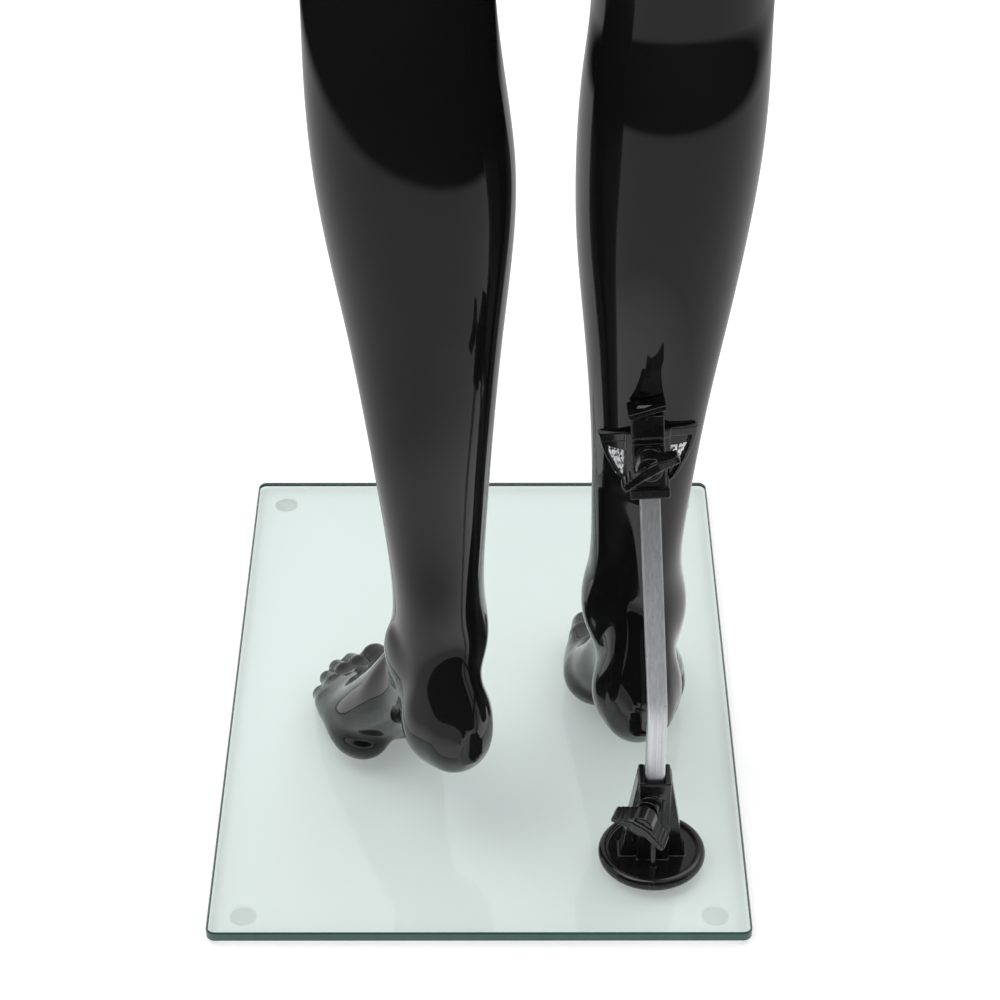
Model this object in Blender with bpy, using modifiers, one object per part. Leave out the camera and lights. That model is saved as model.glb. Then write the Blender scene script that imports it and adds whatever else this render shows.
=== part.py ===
"""Full body shop mannequin on a tempered glass base, held up by a bent rod behind its right calf.

Metres, +Z up. The figure faces -Y, so its right side is at -X. The origin is on the floor under the
figure's midline, at the middle of the glass plate's depth.
"""

import math

import bmesh
import bpy
import numpy as np
from mathutils import Matrix, Vector

# ---------------------------------------------------------------- driving dimensions
GAP = 0.0003            # clearance between pieces that rest on each other
SEAM = 0.0003           # half of the parting line between two body shells
WALL = 0.003            # moulded body shell

PLATE = (0.28, 0.40, 0.006)
PLATE_CENTRE_X = 0.028
PLATE_CORNER = 0.004
BUMPER_R, BUMPER_H = 0.007, 0.002
BUMPER_INSET = 0.018
GLASS_TOP = BUMPER_H + GAP + PLATE[2]

SOCKET_XY = (-0.0625, 0.143)
SOCKET_FOOT_R, SOCKET_FOOT_H = 0.028, 0.0065
SOCKET_TOP = GLASS_TOP + 0.0605
SOCKET_KNOB_Z = GLASS_TOP + 0.0432
SOCKET_KNOB_TURN = math.radians(18)     # the thumbscrew points this far round from straight back
TOWER_HALF = 0.0082
ROD = 0.0100            # square rod, across flats
ROD_FIT = 0.0002        # clearance each side where the rod slides
ROD_BOTTOM = GLASS_TOP + 0.012
ROD_BEND_Z = 0.108
ROD_LEAN = math.radians(12)     # the upper rod leans towards the calf
ROD_SIDE_LEAN = math.radians(3.2)
ROD_UPPER = 0.163       # length above the bend
CLAMP_ALONG = 0.142     # clamp centre, along the upper rod from the bend
CLAMP_HALF = (0.0080, 0.0085, 0.0213)
CLAMP_SCREW_UP = 0.001
SCREW_R = 0.0028

BODY_Y = 0.075          # depth of the trunk's own axis
WAIST_Z, NECK_Z = 1.10, 1.478
SHOULDER_X = 0.150
SHOULDER_ZY = (1.384, 0.083)
CROTCH = (0.004, 0.824)         # the leg seam starts here and rises outwards
LEG_SEAM_SLOPE = math.radians(33)
WRIST_Z = 0.885

TRUNK_SEGMENTS, HEAD_SEGMENTS, LEG_SEGMENTS, ARM_SEGMENTS = 20, 16, 16, 12

# Trunk: height, half width, depth in front of and behind BODY_Y.
HIPS = [(0.826, 0.040, 0.016, 0.030), (0.836, 0.088, 0.038, 0.062), (0.855, 0.130, 0.064, 0.090),
        (0.885, 0.158, 0.080, 0.108), (0.915, 0.165, 0.086, 0.112), (0.955, 0.156, 0.088, 0.104),
        (1.000, 0.137, 0.086, 0.088), (1.050, 0.115, 0.081, 0.074), (1.100, 0.105, 0.079, 0.068)]
CHEST = [(1.100, 0.105, 0.079, 0.068), (1.150, 0.109, 0.081, 0.072), (1.200, 0.118, 0.085, 0.080),
         (1.250, 0.128, 0.088, 0.088), (1.300, 0.140, 0.085, 0.094), (1.335, 0.158, 0.077, 0.095),
         (1.370, 0.174, 0.066, 0.092), (1.400, 0.175, 0.057, 0.084), (1.425, 0.158, 0.050, 0.072),
         (1.445, 0.118, 0.046, 0.062), (1.462, 0.072, 0.044, 0.055), (1.478, 0.050, 0.043, 0.050)]
BREAST = (0.064, 0.018, 1.272)
BREAST_HALF = (0.062, 0.058, 0.068)
HEAD_Y = 0.070
HEAD = [(1.478, 0.049, 0.038, 0.055), (1.505, 0.047, 0.040, 0.051), (1.525, 0.049, 0.055, 0.050),
        (1.540, 0.053, 0.080, 0.050), (1.560, 0.059, 0.091, 0.056), (1.590, 0.066, 0.094, 0.072),
        (1.630, 0.072, 0.094, 0.092), (1.670, 0.074, 0.091, 0.098), (1.710, 0.068, 0.080, 0.090),
        (1.735, 0.052, 0.061, 0.070), (1.750, 0.029, 0.034, 0.042), (1.755, 0.008, 0.010, 0.014)]

# Legs: height, outer edge and inner edge from the midline, depth in front of and behind the leg's axis.
SHANK_LEFT = [(0.150, 0.0726, 0.0250, 0.034, 0.034), (0.200, 0.0773, 0.0229, 0.033, 0.031),
              (0.250, 0.0834, 0.0200, 0.036, 0.033), (0.300, 0.0905, 0.0157, 0.039, 0.039),
              (0.350, 0.0990, 0.0109, 0.042, 0.046), (0.400, 0.1049, 0.0101, 0.044, 0.050),
              (0.450, 0.1065, 0.0175, 0.045, 0.047)]
SHANK_RIGHT = [(0.150, 0.0772, 0.0290, 0.034, 0.034), (0.200, 0.0812, 0.0298, 0.033, 0.031),
               (0.250, 0.0876, 0.0270, 0.036, 0.033), (0.300, 0.0950, 0.0228, 0.039, 0.039),
               (0.350, 0.1027, 0.0187, 0.042, 0.046), (0.400, 0.1063, 0.0193, 0.044, 0.050),
               (0.450, 0.1070, 0.0225, 0.045, 0.047)]
THIGH = [(0.510, 0.1080, 0.0200, 0.050, 0.045), (0.560, 0.1130, 0.0180, 0.052, 0.050),
         (0.650, 0.1280, 0.0120, 0.062, 0.062), (0.750, 0.1460, 0.0070, 0.074, 0.074),
         (0.810, 0.1580, 0.0040, 0.080, 0.084), (0.850, 0.1640, 0.0060, 0.081, 0.094),
         (0.885, 0.1640, 0.0200, 0.076, 0.094), (0.915, 0.1580, 0.0400, 0.060, 0.080)]
AXIS_Z = (0.14, 0.25, 0.40, 0.51, 0.85)
AXIS_LEFT = (0.092, 0.091, 0.087, 0.082, 0.075)
AXIS_RIGHT = (0.065, 0.067, 0.069, 0.071, 0.075)
TURNOUT_LEFT, TURNOUT_RIGHT = math.radians(26), math.radians(-2)
HEEL_LEFT, HEEL_RIGHT = (0.0304, 0.1459), (0.0560, 0.1246)
# Foot rungs: instep and sole points (forward of the heel's back, height), outer and inner half width.
FOOT = [((0.083, 0.128), (0.0275, 0.1165), 0.0240, 0.0240), ((0.0815, 0.115), (0.0180, 0.1030), 0.0222, 0.0218),
        ((0.085, 0.103), (0.0122, 0.0860), 0.0222, 0.0212), ((0.092, 0.0905), (0.0140, 0.0690), 0.0225, 0.0210),
        ((0.099, 0.080), (0.0290, 0.0565), 0.0235, 0.0208), ((0.1065, 0.070), (0.0570, 0.0545), 0.0255, 0.0215),
        ((0.116, 0.0585), (0.0810, 0.0385), 0.0300, 0.0255), ((0.127, 0.047), (0.1010, 0.0155), 0.0325, 0.0295),
        ((0.1385, 0.037), (0.1190, 0.0090), 0.0325, 0.0310), ((0.149, 0.0295), (0.1380, 0.0090), 0.0290, 0.0300),
        ((0.156, 0.0235), (0.1520, 0.0110), 0.0180, 0.0220)]
# Toes from the big one: root and tip (each forward, outwards, height), root radius, tip radius.
TOES = [((0.140, -0.0190, 0.0210), (0.1759, -0.0174, 0.0177), 0.0118, 0.0088),
        ((0.142, -0.0048, 0.0215), (0.1790, -0.0051, 0.0150), 0.0076, 0.0058),
        ((0.140, 0.0048, 0.0205), (0.1775, 0.0041, 0.0147), 0.0072, 0.0055),
        ((0.134, 0.0133, 0.0195), (0.1712, 0.0126, 0.0143), 0.0070, 0.0052),
        ((0.126, 0.0232, 0.0180), (0.1602, 0.0213, 0.0145), 0.0074, 0.0054)]

# Arms: height, axis from the midline, axis depth, half width outwards, inwards, in front, behind.
ARM = [(1.437, 0.164, 0.083, 0.012, 0.020, 0.020, 0.020), (1.427, 0.165, 0.083, 0.021, 0.025, 0.033, 0.033),
       (1.400, 0.167, 0.083, 0.029, 0.030, 0.045, 0.044), (1.360, 0.172, 0.083, 0.030, 0.034, 0.047, 0.045),
       (1.320, 0.177, 0.084, 0.031, 0.030, 0.043, 0.041), (1.260, 0.184, 0.085, 0.032, 0.031, 0.038, 0.037),
       (1.190, 0.191, 0.087, 0.031, 0.031, 0.035, 0.035), (1.120, 0.198, 0.090, 0.030, 0.030, 0.032, 0.033),
       (1.060, 0.204, 0.086, 0.031, 0.031, 0.034, 0.033), (0.990, 0.211, 0.073, 0.027, 0.027, 0.030, 0.029),
       (0.930, 0.217, 0.060, 0.021, 0.021, 0.026, 0.026), (0.885, 0.221, 0.050, 0.018, 0.018, 0.024, 0.024)]
# Palm: height, axis from the midline, axis depth, half thickness, half width in front and behind.
PALM = [(0.8850, 0.2210, 0.050, 0.0180, 0.0240, 0.0240), (0.8680, 0.2225, 0.047, 0.0175, 0.0265, 0.0250),
        (0.8400, 0.2240, 0.043, 0.0160, 0.0330, 0.0290), (0.8150, 0.2250, 0.040, 0.0140, 0.0350, 0.0320),
        (0.7980, 0.2250, 0.038, 0.0110, 0.0340, 0.0320), (0.7900, 0.2250, 0.037, 0.0060, 0.0280, 0.0280)]
# Fingers: root depth, root height, tip offset outwards, forwards and down, root radius, tip radius.
FINGERS = [(0.013, 0.802, -0.006, 0.006, 0.066, 0.0082, 0.0058),
           (0.030, 0.798, -0.004, 0.003, 0.074, 0.0085, 0.0060),
           (0.047, 0.799, -0.004, 0.000, 0.069, 0.0080, 0.0057),
           (0.062, 0.803, -0.006, -0.003, 0.054, 0.0070, 0.0050)]
THUMB = (0.014, 0.846, -0.012, 0.026, 0.062, 0.0105, 0.0070)
FINGER_X = 0.2245


# ---------------------------------------------------------------- scene and materials
def clear_scene():
    for obj in list(bpy.data.objects):
        bpy.data.objects.remove(obj)


clear_scene()
parts = bpy.data.collections.new("mannequin")
cutters = bpy.data.collections.new("cutters")
for collection in (parts, cutters):
    bpy.context.scene.collection.children.link(collection)


def material(name, colour, roughness, metallic=0.0, transmission=0.0):
    made = bpy.data.materials.new(name)
    made.use_nodes = True
    shader = made.node_tree.nodes["Principled BSDF"]
    shader.inputs["Base Color"].default_value = (*colour, 1)
    shader.inputs["Roughness"].default_value = roughness
    shader.inputs["Metallic"].default_value = metallic
    shader.inputs["Transmission Weight"].default_value = transmission
    return made


BODY = material("body_gloss_black", (0.012, 0.012, 0.013), 0.06)
PLASTIC = material("fitting_black", (0.010, 0.010, 0.011), 0.18)
INNER = material("inner_plastic", (0.05, 0.05, 0.052), 0.45)
ALUMINIUM = material("rod_aluminium", (0.62, 0.62, 0.64), 0.34, 1.0)
STEEL = material("screw_steel", (0.55, 0.55, 0.56), 0.28, 1.0)
GLASS = material("base_glass", (0.80, 0.93, 0.89), 0.02, 0.0, 0.9)
RUBBER = material("bumper_clear", (0.75, 0.80, 0.78), 0.35, 0.0, 0.5)


def publish(obj, name, finish):
    """Names the object as a sub-part, gives it its material and files it with the parts."""
    obj.name = name
    obj.data.name = name
    obj.data.materials.clear()
    obj.data.materials.append(finish)
    for collection in list(obj.users_collection):
        collection.objects.unlink(obj)
    parts.objects.link(obj)
    return obj


def hide(obj):
    """Files the object with the cutters, out of the render."""
    for collection in list(obj.users_collection):
        collection.objects.unlink(obj)
    cutters.objects.link(obj)
    obj.hide_render = True
    obj.display_type = "WIRE"
    return obj


def object_of(mesh_builder, name="piece"):
    """A new object around a bmesh, with its normals made consistent."""
    bmesh.ops.recalc_face_normals(mesh_builder, faces=mesh_builder.faces)
    mesh = bpy.data.meshes.new(name)
    mesh_builder.to_mesh(mesh)
    mesh_builder.free()
    obj = bpy.data.objects.new(name, mesh)
    parts.objects.link(obj)
    return obj


def combine(obj, other, operation, solver="EXACT"):
    """A Boolean of obj with other, which then becomes a hidden cutter."""
    modifier = obj.modifiers.new(operation.lower(), "BOOLEAN")
    modifier.operation = operation
    modifier.object = hide(other)
    modifier.solver = solver
    return obj


def bevel(obj, width, segments=2, angle=math.radians(40)):
    modifier = obj.modifiers.new("bevel", "BEVEL")
    modifier.width = width
    modifier.segments = segments
    modifier.limit_method = "ANGLE"
    modifier.angle_limit = angle
    return obj


def place_on(obj, matrix):
    """Stands an object built about the origin in a frame of its own."""
    obj.location = matrix.to_translation()
    obj.rotation_mode = "QUATERNION"
    obj.rotation_quaternion = matrix.to_quaternion()
    return obj


# ---------------------------------------------------------------- simple solids
def box(size, centre, turn=None):
    builder = bmesh.new()
    bmesh.ops.create_cube(builder, size=1.0)
    bmesh.ops.scale(builder, vec=size, verts=builder.verts)
    if turn is not None:
        bmesh.ops.transform(builder, matrix=turn, verts=builder.verts)
    bmesh.ops.translate(builder, vec=centre, verts=builder.verts)
    return object_of(builder)


def cylinder(radius, height, centre, axis=(0, 0, 1), radius_top=None, segments=24):
    builder = bmesh.new()
    bmesh.ops.create_cone(builder, cap_ends=True, segments=segments, radius1=radius,
                          radius2=radius if radius_top is None else radius_top, depth=height)
    turn = Vector((0, 0, 1)).rotation_difference(Vector(axis)).to_matrix().to_4x4()
    bmesh.ops.transform(builder, matrix=turn, verts=builder.verts)
    bmesh.ops.translate(builder, vec=centre, verts=builder.verts)
    return object_of(builder)


def ellipsoid(half, centre, u_segments=14, v_segments=8):
    builder = bmesh.new()
    bmesh.ops.create_uvsphere(builder, u_segments=u_segments, v_segments=v_segments, radius=1.0)
    bmesh.ops.scale(builder, vec=half, verts=builder.verts)
    bmesh.ops.translate(builder, vec=centre, verts=builder.verts)
    return object_of(builder)


def turned(profile, centre, axis=(0, 0, 1), steps=24):
    """A solid of revolution: profile is (radius, height) from top to bottom on its outer side.

    A profile that ends where it starts is a ring, with a hole down its middle.
    """
    builder = bmesh.new()
    ring = profile[0] == profile[-1]
    corners = profile[:-1] if ring else profile
    rows = [builder.verts.new((radius, 0, height)) for radius, height in corners]
    for upper, lower in zip(rows, rows[1:] + rows[:1] if ring else rows[1:]):
        builder.edges.new((upper, lower))
    mesh = bpy.data.meshes.new("profile")
    builder.to_mesh(mesh)
    builder.free()
    obj = bpy.data.objects.new("turned", mesh)
    parts.objects.link(obj)
    turn = Vector((0, 0, 1)).rotation_difference(Vector(axis))
    obj.rotation_mode = "QUATERNION"
    obj.rotation_quaternion = turn
    obj.location = centre
    screw = obj.modifiers.new("screw", "SCREW")
    screw.steps = screw.render_steps = steps
    screw.use_merge_vertices = True
    screw.merge_threshold = 0.00005
    return obj


# ---------------------------------------------------------------- lofts
def loft(rings):
    """A closed solid through rings of points, each ring with the same number of points."""
    builder = bmesh.new()
    rows = [[builder.verts.new(point) for point in ring] for ring in rings]
    count = len(rows[0])
    for lower, upper in zip(rows, rows[1:]):
        for i in range(count):
            k = (i + 1) % count
            builder.faces.new((lower[i], lower[k], upper[k], upper[i]))
    builder.faces.new(reversed(rows[0]))
    builder.faces.new(rows[-1])
    return object_of(builder)


def oval(centre, across, along, half, segments):
    """A ring about centre: half holds the half sizes along +across, -across, +along and -along."""
    ring = []
    for i in range(segments):
        angle = 2 * math.pi * i / segments
        c, s = math.cos(angle), math.sin(angle)
        ring.append(centre + across * (c * half[0 if c > 0 else 1]) + along * (s * half[2 if s > 0 else 3]))
    return ring


def stations(table, low, high, inset=0.0):
    """The table's rows from low to high, with a row at each end. An inner skin's ends move in."""
    rows = np.array(sorted(table), float)
    low, high = low + inset, high - 1.5 * inset
    heights = [low] + [z for z in rows[:, 0] if low + 0.001 < z < high - 0.001] + [high]
    columns = range(1, rows.shape[1])
    return [(z, *[float(np.interp(z, rows[:, 0], rows[:, k])) for k in columns]) for z in heights]


ACROSS, BACK = Vector((1, 0, 0)), Vector((0, 1, 0))


def trunk(table, low, high, inset=0.0, centre_y=BODY_Y, segments=TRUNK_SEGMENTS):
    """A loft of horizontal sections through a trunk or head table, between two heights."""
    rows = stations(table, low, high, inset)
    rings = [oval(Vector((0, centre_y, z)), ACROSS, BACK,
                  [max(v - inset, 0.002) for v in (half, half, behind, front)], segments)
             for z, half, front, behind in rows]
    return loft(rings)


def foot_frame(side):
    """The point under the back of the heel, and the foot's own forward and outward directions."""
    x, y = HEEL_LEFT if side > 0 else HEEL_RIGHT
    turnout = TURNOUT_LEFT if side > 0 else TURNOUT_RIGHT
    forward = Vector((side * math.sin(turnout), -math.cos(turnout), 0))
    outwards = Vector((side * math.cos(turnout), math.sin(turnout), 0))
    return Vector((side * x, y, 0)), forward, outwards


def add_toes(obj, side):
    heel, forward, outwards = foot_frame(side)
    for root, tip, root_radius, tip_radius in TOES:
        start, end = (heel + forward * a + outwards * b + Vector((0, 0, z)) for a, b, z in (root, tip))
        combine(obj, digit(start, end - start, root_radius, tip_radius), "UNION", "MANIFOLD")


def leg_rings(shank, axis, side, inset=0.0, top=0.915):
    """Rings from the hip down to the toes. side is +1 on the left leg and -1 on the right."""
    rings = []
    for z, outer, inner, front, behind in reversed(shank + THIGH):
        if z > top:
            continue
        y = float(np.interp(z, AXIS_Z, axis))
        centre = Vector((side * (outer + inner) / 2, y, z))
        half = max((outer - inner) / 2 - inset, 0.004)
        halves = (half, half, behind - inset, front - inset)
        rings.append(oval(centre, ACROSS * side, BACK, halves, LEG_SEGMENTS))
    heel, forward, outwards = foot_frame(side)
    rungs = FOOT if not inset else FOOT[:3]
    for top_point, sole_point, outer_half, inner_half in rungs:
        upper = heel + forward * top_point[0] + Vector((0, 0, top_point[1]))
        lower = heel + forward * sole_point[0] + Vector((0, 0, sole_point[1]))
        depth = (lower - upper).length / 2 - inset
        away = (lower - upper).normalized()
        rings.append(oval((upper + lower) / 2, outwards, away,
                          (outer_half - inset, inner_half - inset, depth, depth), LEG_SEGMENTS))
    return rings


def cut_plane(obj, point, normal):
    """Removes what lies on the normal's side of a plane, and closes the cut."""
    builder = bmesh.new()
    builder.from_mesh(obj.data)
    geometry = builder.verts[:] + builder.edges[:] + builder.faces[:]
    cut = bmesh.ops.bisect_plane(builder, geom=geometry, plane_co=point, plane_no=normal, clear_outer=True)
    edges = [item for item in cut["geom_cut"] if isinstance(item, bmesh.types.BMEdge)]
    bmesh.ops.holes_fill(builder, edges=edges, sides=0)
    bmesh.ops.recalc_face_normals(builder, faces=builder.faces)
    builder.to_mesh(obj.data)
    builder.free()
    return obj


def leg_seam(side, offset=0.0):
    """(point, normal) of the plane where a leg leaves the hips. The normal points up and inwards."""
    normal = Vector((-side * math.sin(LEG_SEAM_SLOPE), 0, math.cos(LEG_SEAM_SLOPE)))
    return Vector((side * CROTCH[0], BODY_Y, CROTCH[1])) + normal * offset, normal


def hip_fitting_centre(side):
    """The middle of the leg seam's face."""
    point, normal = leg_seam(side)
    outwards = Vector((side * math.cos(LEG_SEAM_SLOPE), 0, math.sin(LEG_SEAM_SLOPE)))
    return point + outwards * 0.095 + Vector((0, 0.008, 0))


# ---------------------------------------------------------------- base
def glass_base():
    plate = box(PLATE, (PLATE_CENTRE_X, 0, BUMPER_H + GAP + PLATE[2] / 2))
    corner = plate.modifiers.new("corner", "BEVEL")
    corner.width = PLATE_CORNER
    corner.segments = 3
    corner.limit_method = "WEIGHT"
    mesh = plate.data
    weights = mesh.attributes.new("bevel_weight_edge", "FLOAT", "EDGE")
    for edge in mesh.edges:
        a, b = (mesh.vertices[i].co for i in edge.vertices)
        weights.data[edge.index].value = 1.0 if abs(a.z - b.z) > PLATE[2] / 2 else 0.0
    hole = cylinder(0.0045, 0.03, (*SOCKET_XY, GLASS_TOP - 0.003), segments=20)
    combine(plate, hole, "DIFFERENCE")
    publish(plate, "glass_base", GLASS)


def bumpers():
    half_x, half_y = PLATE[0] / 2 - BUMPER_INSET, PLATE[1] / 2 - BUMPER_INSET
    for depth_name, sy in (("front", -1), ("rear", 1)):
        for side_name, sx in (("left", 1), ("right", -1)):
            centre = (PLATE_CENTRE_X + sx * half_x, sy * half_y, BUMPER_H / 2)
            pad = cylinder(BUMPER_R, BUMPER_H, centre, segments=20)
            publish(pad, f"bumper_{depth_name}_{side_name}", RUBBER)


def rod_socket():
    """The round foot on the glass with its four-ribbed square tower."""
    x, y = SOCKET_XY
    base = GLASS_TOP + GAP
    r, h = SOCKET_FOOT_R, SOCKET_FOOT_H
    foot = turned([(0.0041, h - 0.0015), (r - 0.006, h - 0.0015), (r - 0.0045, h), (r - 0.0022, h - 0.0003),
                   (r - 0.0005, h - 0.0018), (r, h - 0.0035), (r - 0.0006, 0.0008), (r - 0.0015, 0),
                   (0.0041, 0), (0.0041, h - 0.0015)], (x, y, base), steps=32)
    tower = box((2 * TOWER_HALF, 2 * TOWER_HALF, SOCKET_TOP - base - 0.002),
                (x, y, (SOCKET_TOP + base + 0.002) / 2))
    bevel(tower, 0.002, 2)
    combine(foot, tower, "UNION")
    for quarter in range(4):
        height = SOCKET_TOP - base - 0.0045 if quarter % 2 == 0 else 0.020
        combine(foot, rib(x, y, base + 0.002, quarter, height), "UNION")
    outwards = Vector((math.sin(SOCKET_KNOB_TURN), math.cos(SOCKET_KNOB_TURN), 0))
    screw_foot = Vector((x, y, SOCKET_KNOB_Z))
    boss = cylinder(0.0058, 0.009, screw_foot + outwards * (TOWER_HALF + 0.0005), outwards, segments=18)
    combine(foot, boss, "UNION")
    fit = ROD / 2 + ROD_FIT
    channel = box((2 * fit, 2 * fit, 0.06), (x, y, ROD_BOTTOM - GAP + 0.03))
    combine(foot, channel, "DIFFERENCE")
    combine(foot, cylinder(0.0070, 0.0075, (x, y, ROD_BOTTOM - 0.0035), segments=18), "DIFFERENCE")
    combine(foot, cylinder(0.0043, 0.0060, (x, y, base + 0.0040), segments=16), "DIFFERENCE")
    tapped = cylinder(SCREW_R + 0.0002, 0.03, screw_foot + outwards * 0.0185, outwards, segments=16)
    combine(foot, tapped, "DIFFERENCE")
    publish(foot, "rod_socket", PLASTIC)


def rib(x, y, z, quarter, height):
    """One triangular gusset from the tower to the foot."""
    builder = bmesh.new()
    outline = [(0.0065, 0), (0.0152, 0), (0.0094, height - 0.003), (0.0084, height), (0.0065, height)]
    half = 0.0011
    rows = [[builder.verts.new((d, t, h)) for d, h in outline] for t in (-half, half)]
    builder.faces.new(rows[0])
    builder.faces.new(reversed(rows[1]))
    for i in range(len(outline)):
        k = (i + 1) % len(outline)
        builder.faces.new((rows[0][i], rows[1][i], rows[1][k], rows[0][k]))
    turn = Matrix.Rotation(quarter * math.pi / 2, 4, "Z")
    bmesh.ops.transform(builder, matrix=turn, verts=builder.verts)
    bmesh.ops.translate(builder, vec=(x, y, z), verts=builder.verts)
    return object_of(builder)


def socket_fasteners():
    x, y = SOCKET_XY
    low, high = 0.0003, GLASS_TOP + 0.0065
    bolt = turned([(0, high), (0.0035, high), (0.0038, high - 0.0004), (0.0038, BUMPER_H - 0.0004),
                   (0.0072, BUMPER_H - 0.0004), (0.0076, BUMPER_H - 0.0009), (0.0062, low), (0, low)],
                  (x, y, 0), steps=20)
    publish(bolt, "socket_bolt", STEEL)
    nut = cylinder(0.0066, 0.0025, (x, y, ROD_BOTTOM - 0.0035), segments=6)
    combine(nut, cylinder(0.0040, 0.02, (x, y, ROD_BOTTOM), segments=18), "DIFFERENCE")
    publish(nut, "socket_nut", STEEL)


def wing_screw(tip, axis, reach, lift, prefix):
    """A thumbscrew: a shank from tip along axis, and a two-winged head with its +X wing lifted by lift."""
    axis = Vector(axis).normalized()
    level = Vector((0, 0, -1)).cross(axis).normalized()
    wing = level * math.cos(lift) + level.cross(axis) * -math.sin(lift)
    turn = Matrix((wing, axis.cross(wing), axis)).transposed().to_4x4()
    place = Matrix.Translation(tip) @ turn
    r = SCREW_R
    shank_length = reach + 0.006
    shank = turned([(0, shank_length), (r - 0.0004, shank_length), (r, shank_length - 0.0004), (r, 0.0006),
                    (r - 0.0006, 0), (0, 0)], tip, axis, steps=14)
    publish(shank, f"{prefix}_screw", STEEL)
    head = cylinder(0.0063, 0.0105, (0, 0, reach + 0.0055), segments=20)
    wings = wing_outline(reach)
    bevel(wings, 0.0014, 2)
    bore_top = shank_length + 0.0003
    bore = cylinder(r + 0.0002, bore_top + 0.01, (0, 0, (bore_top - 0.01) / 2), segments=16)
    for obj in (head, wings, bore):
        place_on(obj, place)
    combine(head, wings, "UNION")
    combine(head, bore, "DIFFERENCE")
    publish(head, f"{prefix}_knob", PLASTIC)


def wing_outline(reach):
    """The knob's two wings: a flat plate across the shank."""
    builder = bmesh.new()
    outline = [(-0.0055, 0.0005), (0.0055, 0.0005), (0.0140, 0.0060), (0.0152, 0.0150), (0.0128, 0.0172),
               (0.0065, 0.0135), (-0.0065, 0.0135), (-0.0128, 0.0172), (-0.0152, 0.0150), (-0.0140, 0.0060)]
    half = 0.0023
    rows = [[builder.verts.new((a, t, reach + h)) for a, h in outline] for t in (-half, half)]
    builder.faces.new(rows[0])
    builder.faces.new(reversed(rows[1]))
    for i in range(len(outline)):
        k = (i + 1) % len(outline)
        builder.faces.new((rows[0][i], rows[1][i], rows[1][k], rows[0][k]))
    return object_of(builder)


# ---------------------------------------------------------------- rod and calf bracket
def rod_directions():
    """The upper rod's own axes: along it, across it and out of its back face."""
    along = Vector((math.tan(ROD_SIDE_LEAN), -math.tan(ROD_LEAN), 1)).normalized()
    across = Vector((1, 0, 0))
    across = (across - along * across.dot(along)).normalized()
    return along, across, along.cross(across)


def square_ring(centre, across, back, half):
    corners = ((1, 1), (-1, 1), (-1, -1), (1, -1))
    return [centre + across * (a * half) + back * (b * half) for a, b in corners]


def support_rod():
    along, across, back = rod_directions()
    half = ROD / 2
    bend = Vector((*SOCKET_XY, ROD_BEND_Z))
    upright = (Vector((0, 0, 1)), Vector((1, 0, 0)), Vector((0, 1, 0)))
    rings = [square_ring(Vector((*SOCKET_XY, z)), upright[1], upright[2], half)
             for z in (ROD_BOTTOM, ROD_BEND_Z - 0.008)]
    for share in (0.25, 0.5, 0.75):
        direction = upright[0].lerp(along, share).normalized()
        side = (upright[1].lerp(across, share)).normalized()
        middle = bend + (direction - upright[0]) * 0.004
        start, end = bend - upright[0] * 0.008, bend + along * 0.008
        middle = start * (1 - share) ** 2 + bend * 2 * share * (1 - share) + end * share ** 2
        rings.append(square_ring(middle, side, direction.cross(side), half))
    for distance in (0.008, ROD_UPPER):
        rings.append(square_ring(bend + along * distance, across, back, half))
    rod = loft(rings)
    bevel(rod, 0.0009, 2, math.radians(60))
    publish(rod, "support_rod", ALUMINIUM)
    cap = loft([square_ring(bend + along * (ROD_UPPER + d), across, back, half - inset)
                for d, inset in ((GAP, 0.0), (0.0042, 0.0), (0.0052, 0.001))])
    publish(cap, "rod_end_cap", PLASTIC)


def rod_frame():
    """A matrix from the clamp's own frame (across, back, along) to the world, at the clamp's centre."""
    along, across, back = rod_directions()
    centre = Vector((*SOCKET_XY, ROD_BEND_Z)) + along * CLAMP_ALONG
    turn = Matrix((across, back, along)).transposed().to_4x4()
    return Matrix.Translation(centre) @ turn


SADDLE_THICK = 0.0028
SADDLE_DIP = 0.009          # the saddle's top edge drops this much towards its ends


def calf_point(z, angle, offset):
    """A point on the right calf's skin, moved out by offset. The angle is counted from straight behind."""
    rows = np.array(SHANK_RIGHT)
    outer, inner, _, behind = (float(np.interp(z, rows[:, 0], rows[:, k])) for k in range(1, 5))
    half = (outer - inner) / 2 + offset
    y = float(np.interp(z, AXIS_Z, AXIS_RIGHT)) + math.cos(angle) * (behind + offset)
    return Vector((-(outer + inner) / 2 + math.sin(angle) * half, y, z))


def calf_solid(offset):
    """The right shank alone, moved out by offset, to cut clearance with."""
    rings = [[calf_point(z, 2 * math.pi * i / LEG_SEGMENTS, offset) for i in range(LEG_SEGMENTS)]
             for z in (0.200, 0.250, 0.300)]
    return loft(rings)


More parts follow.
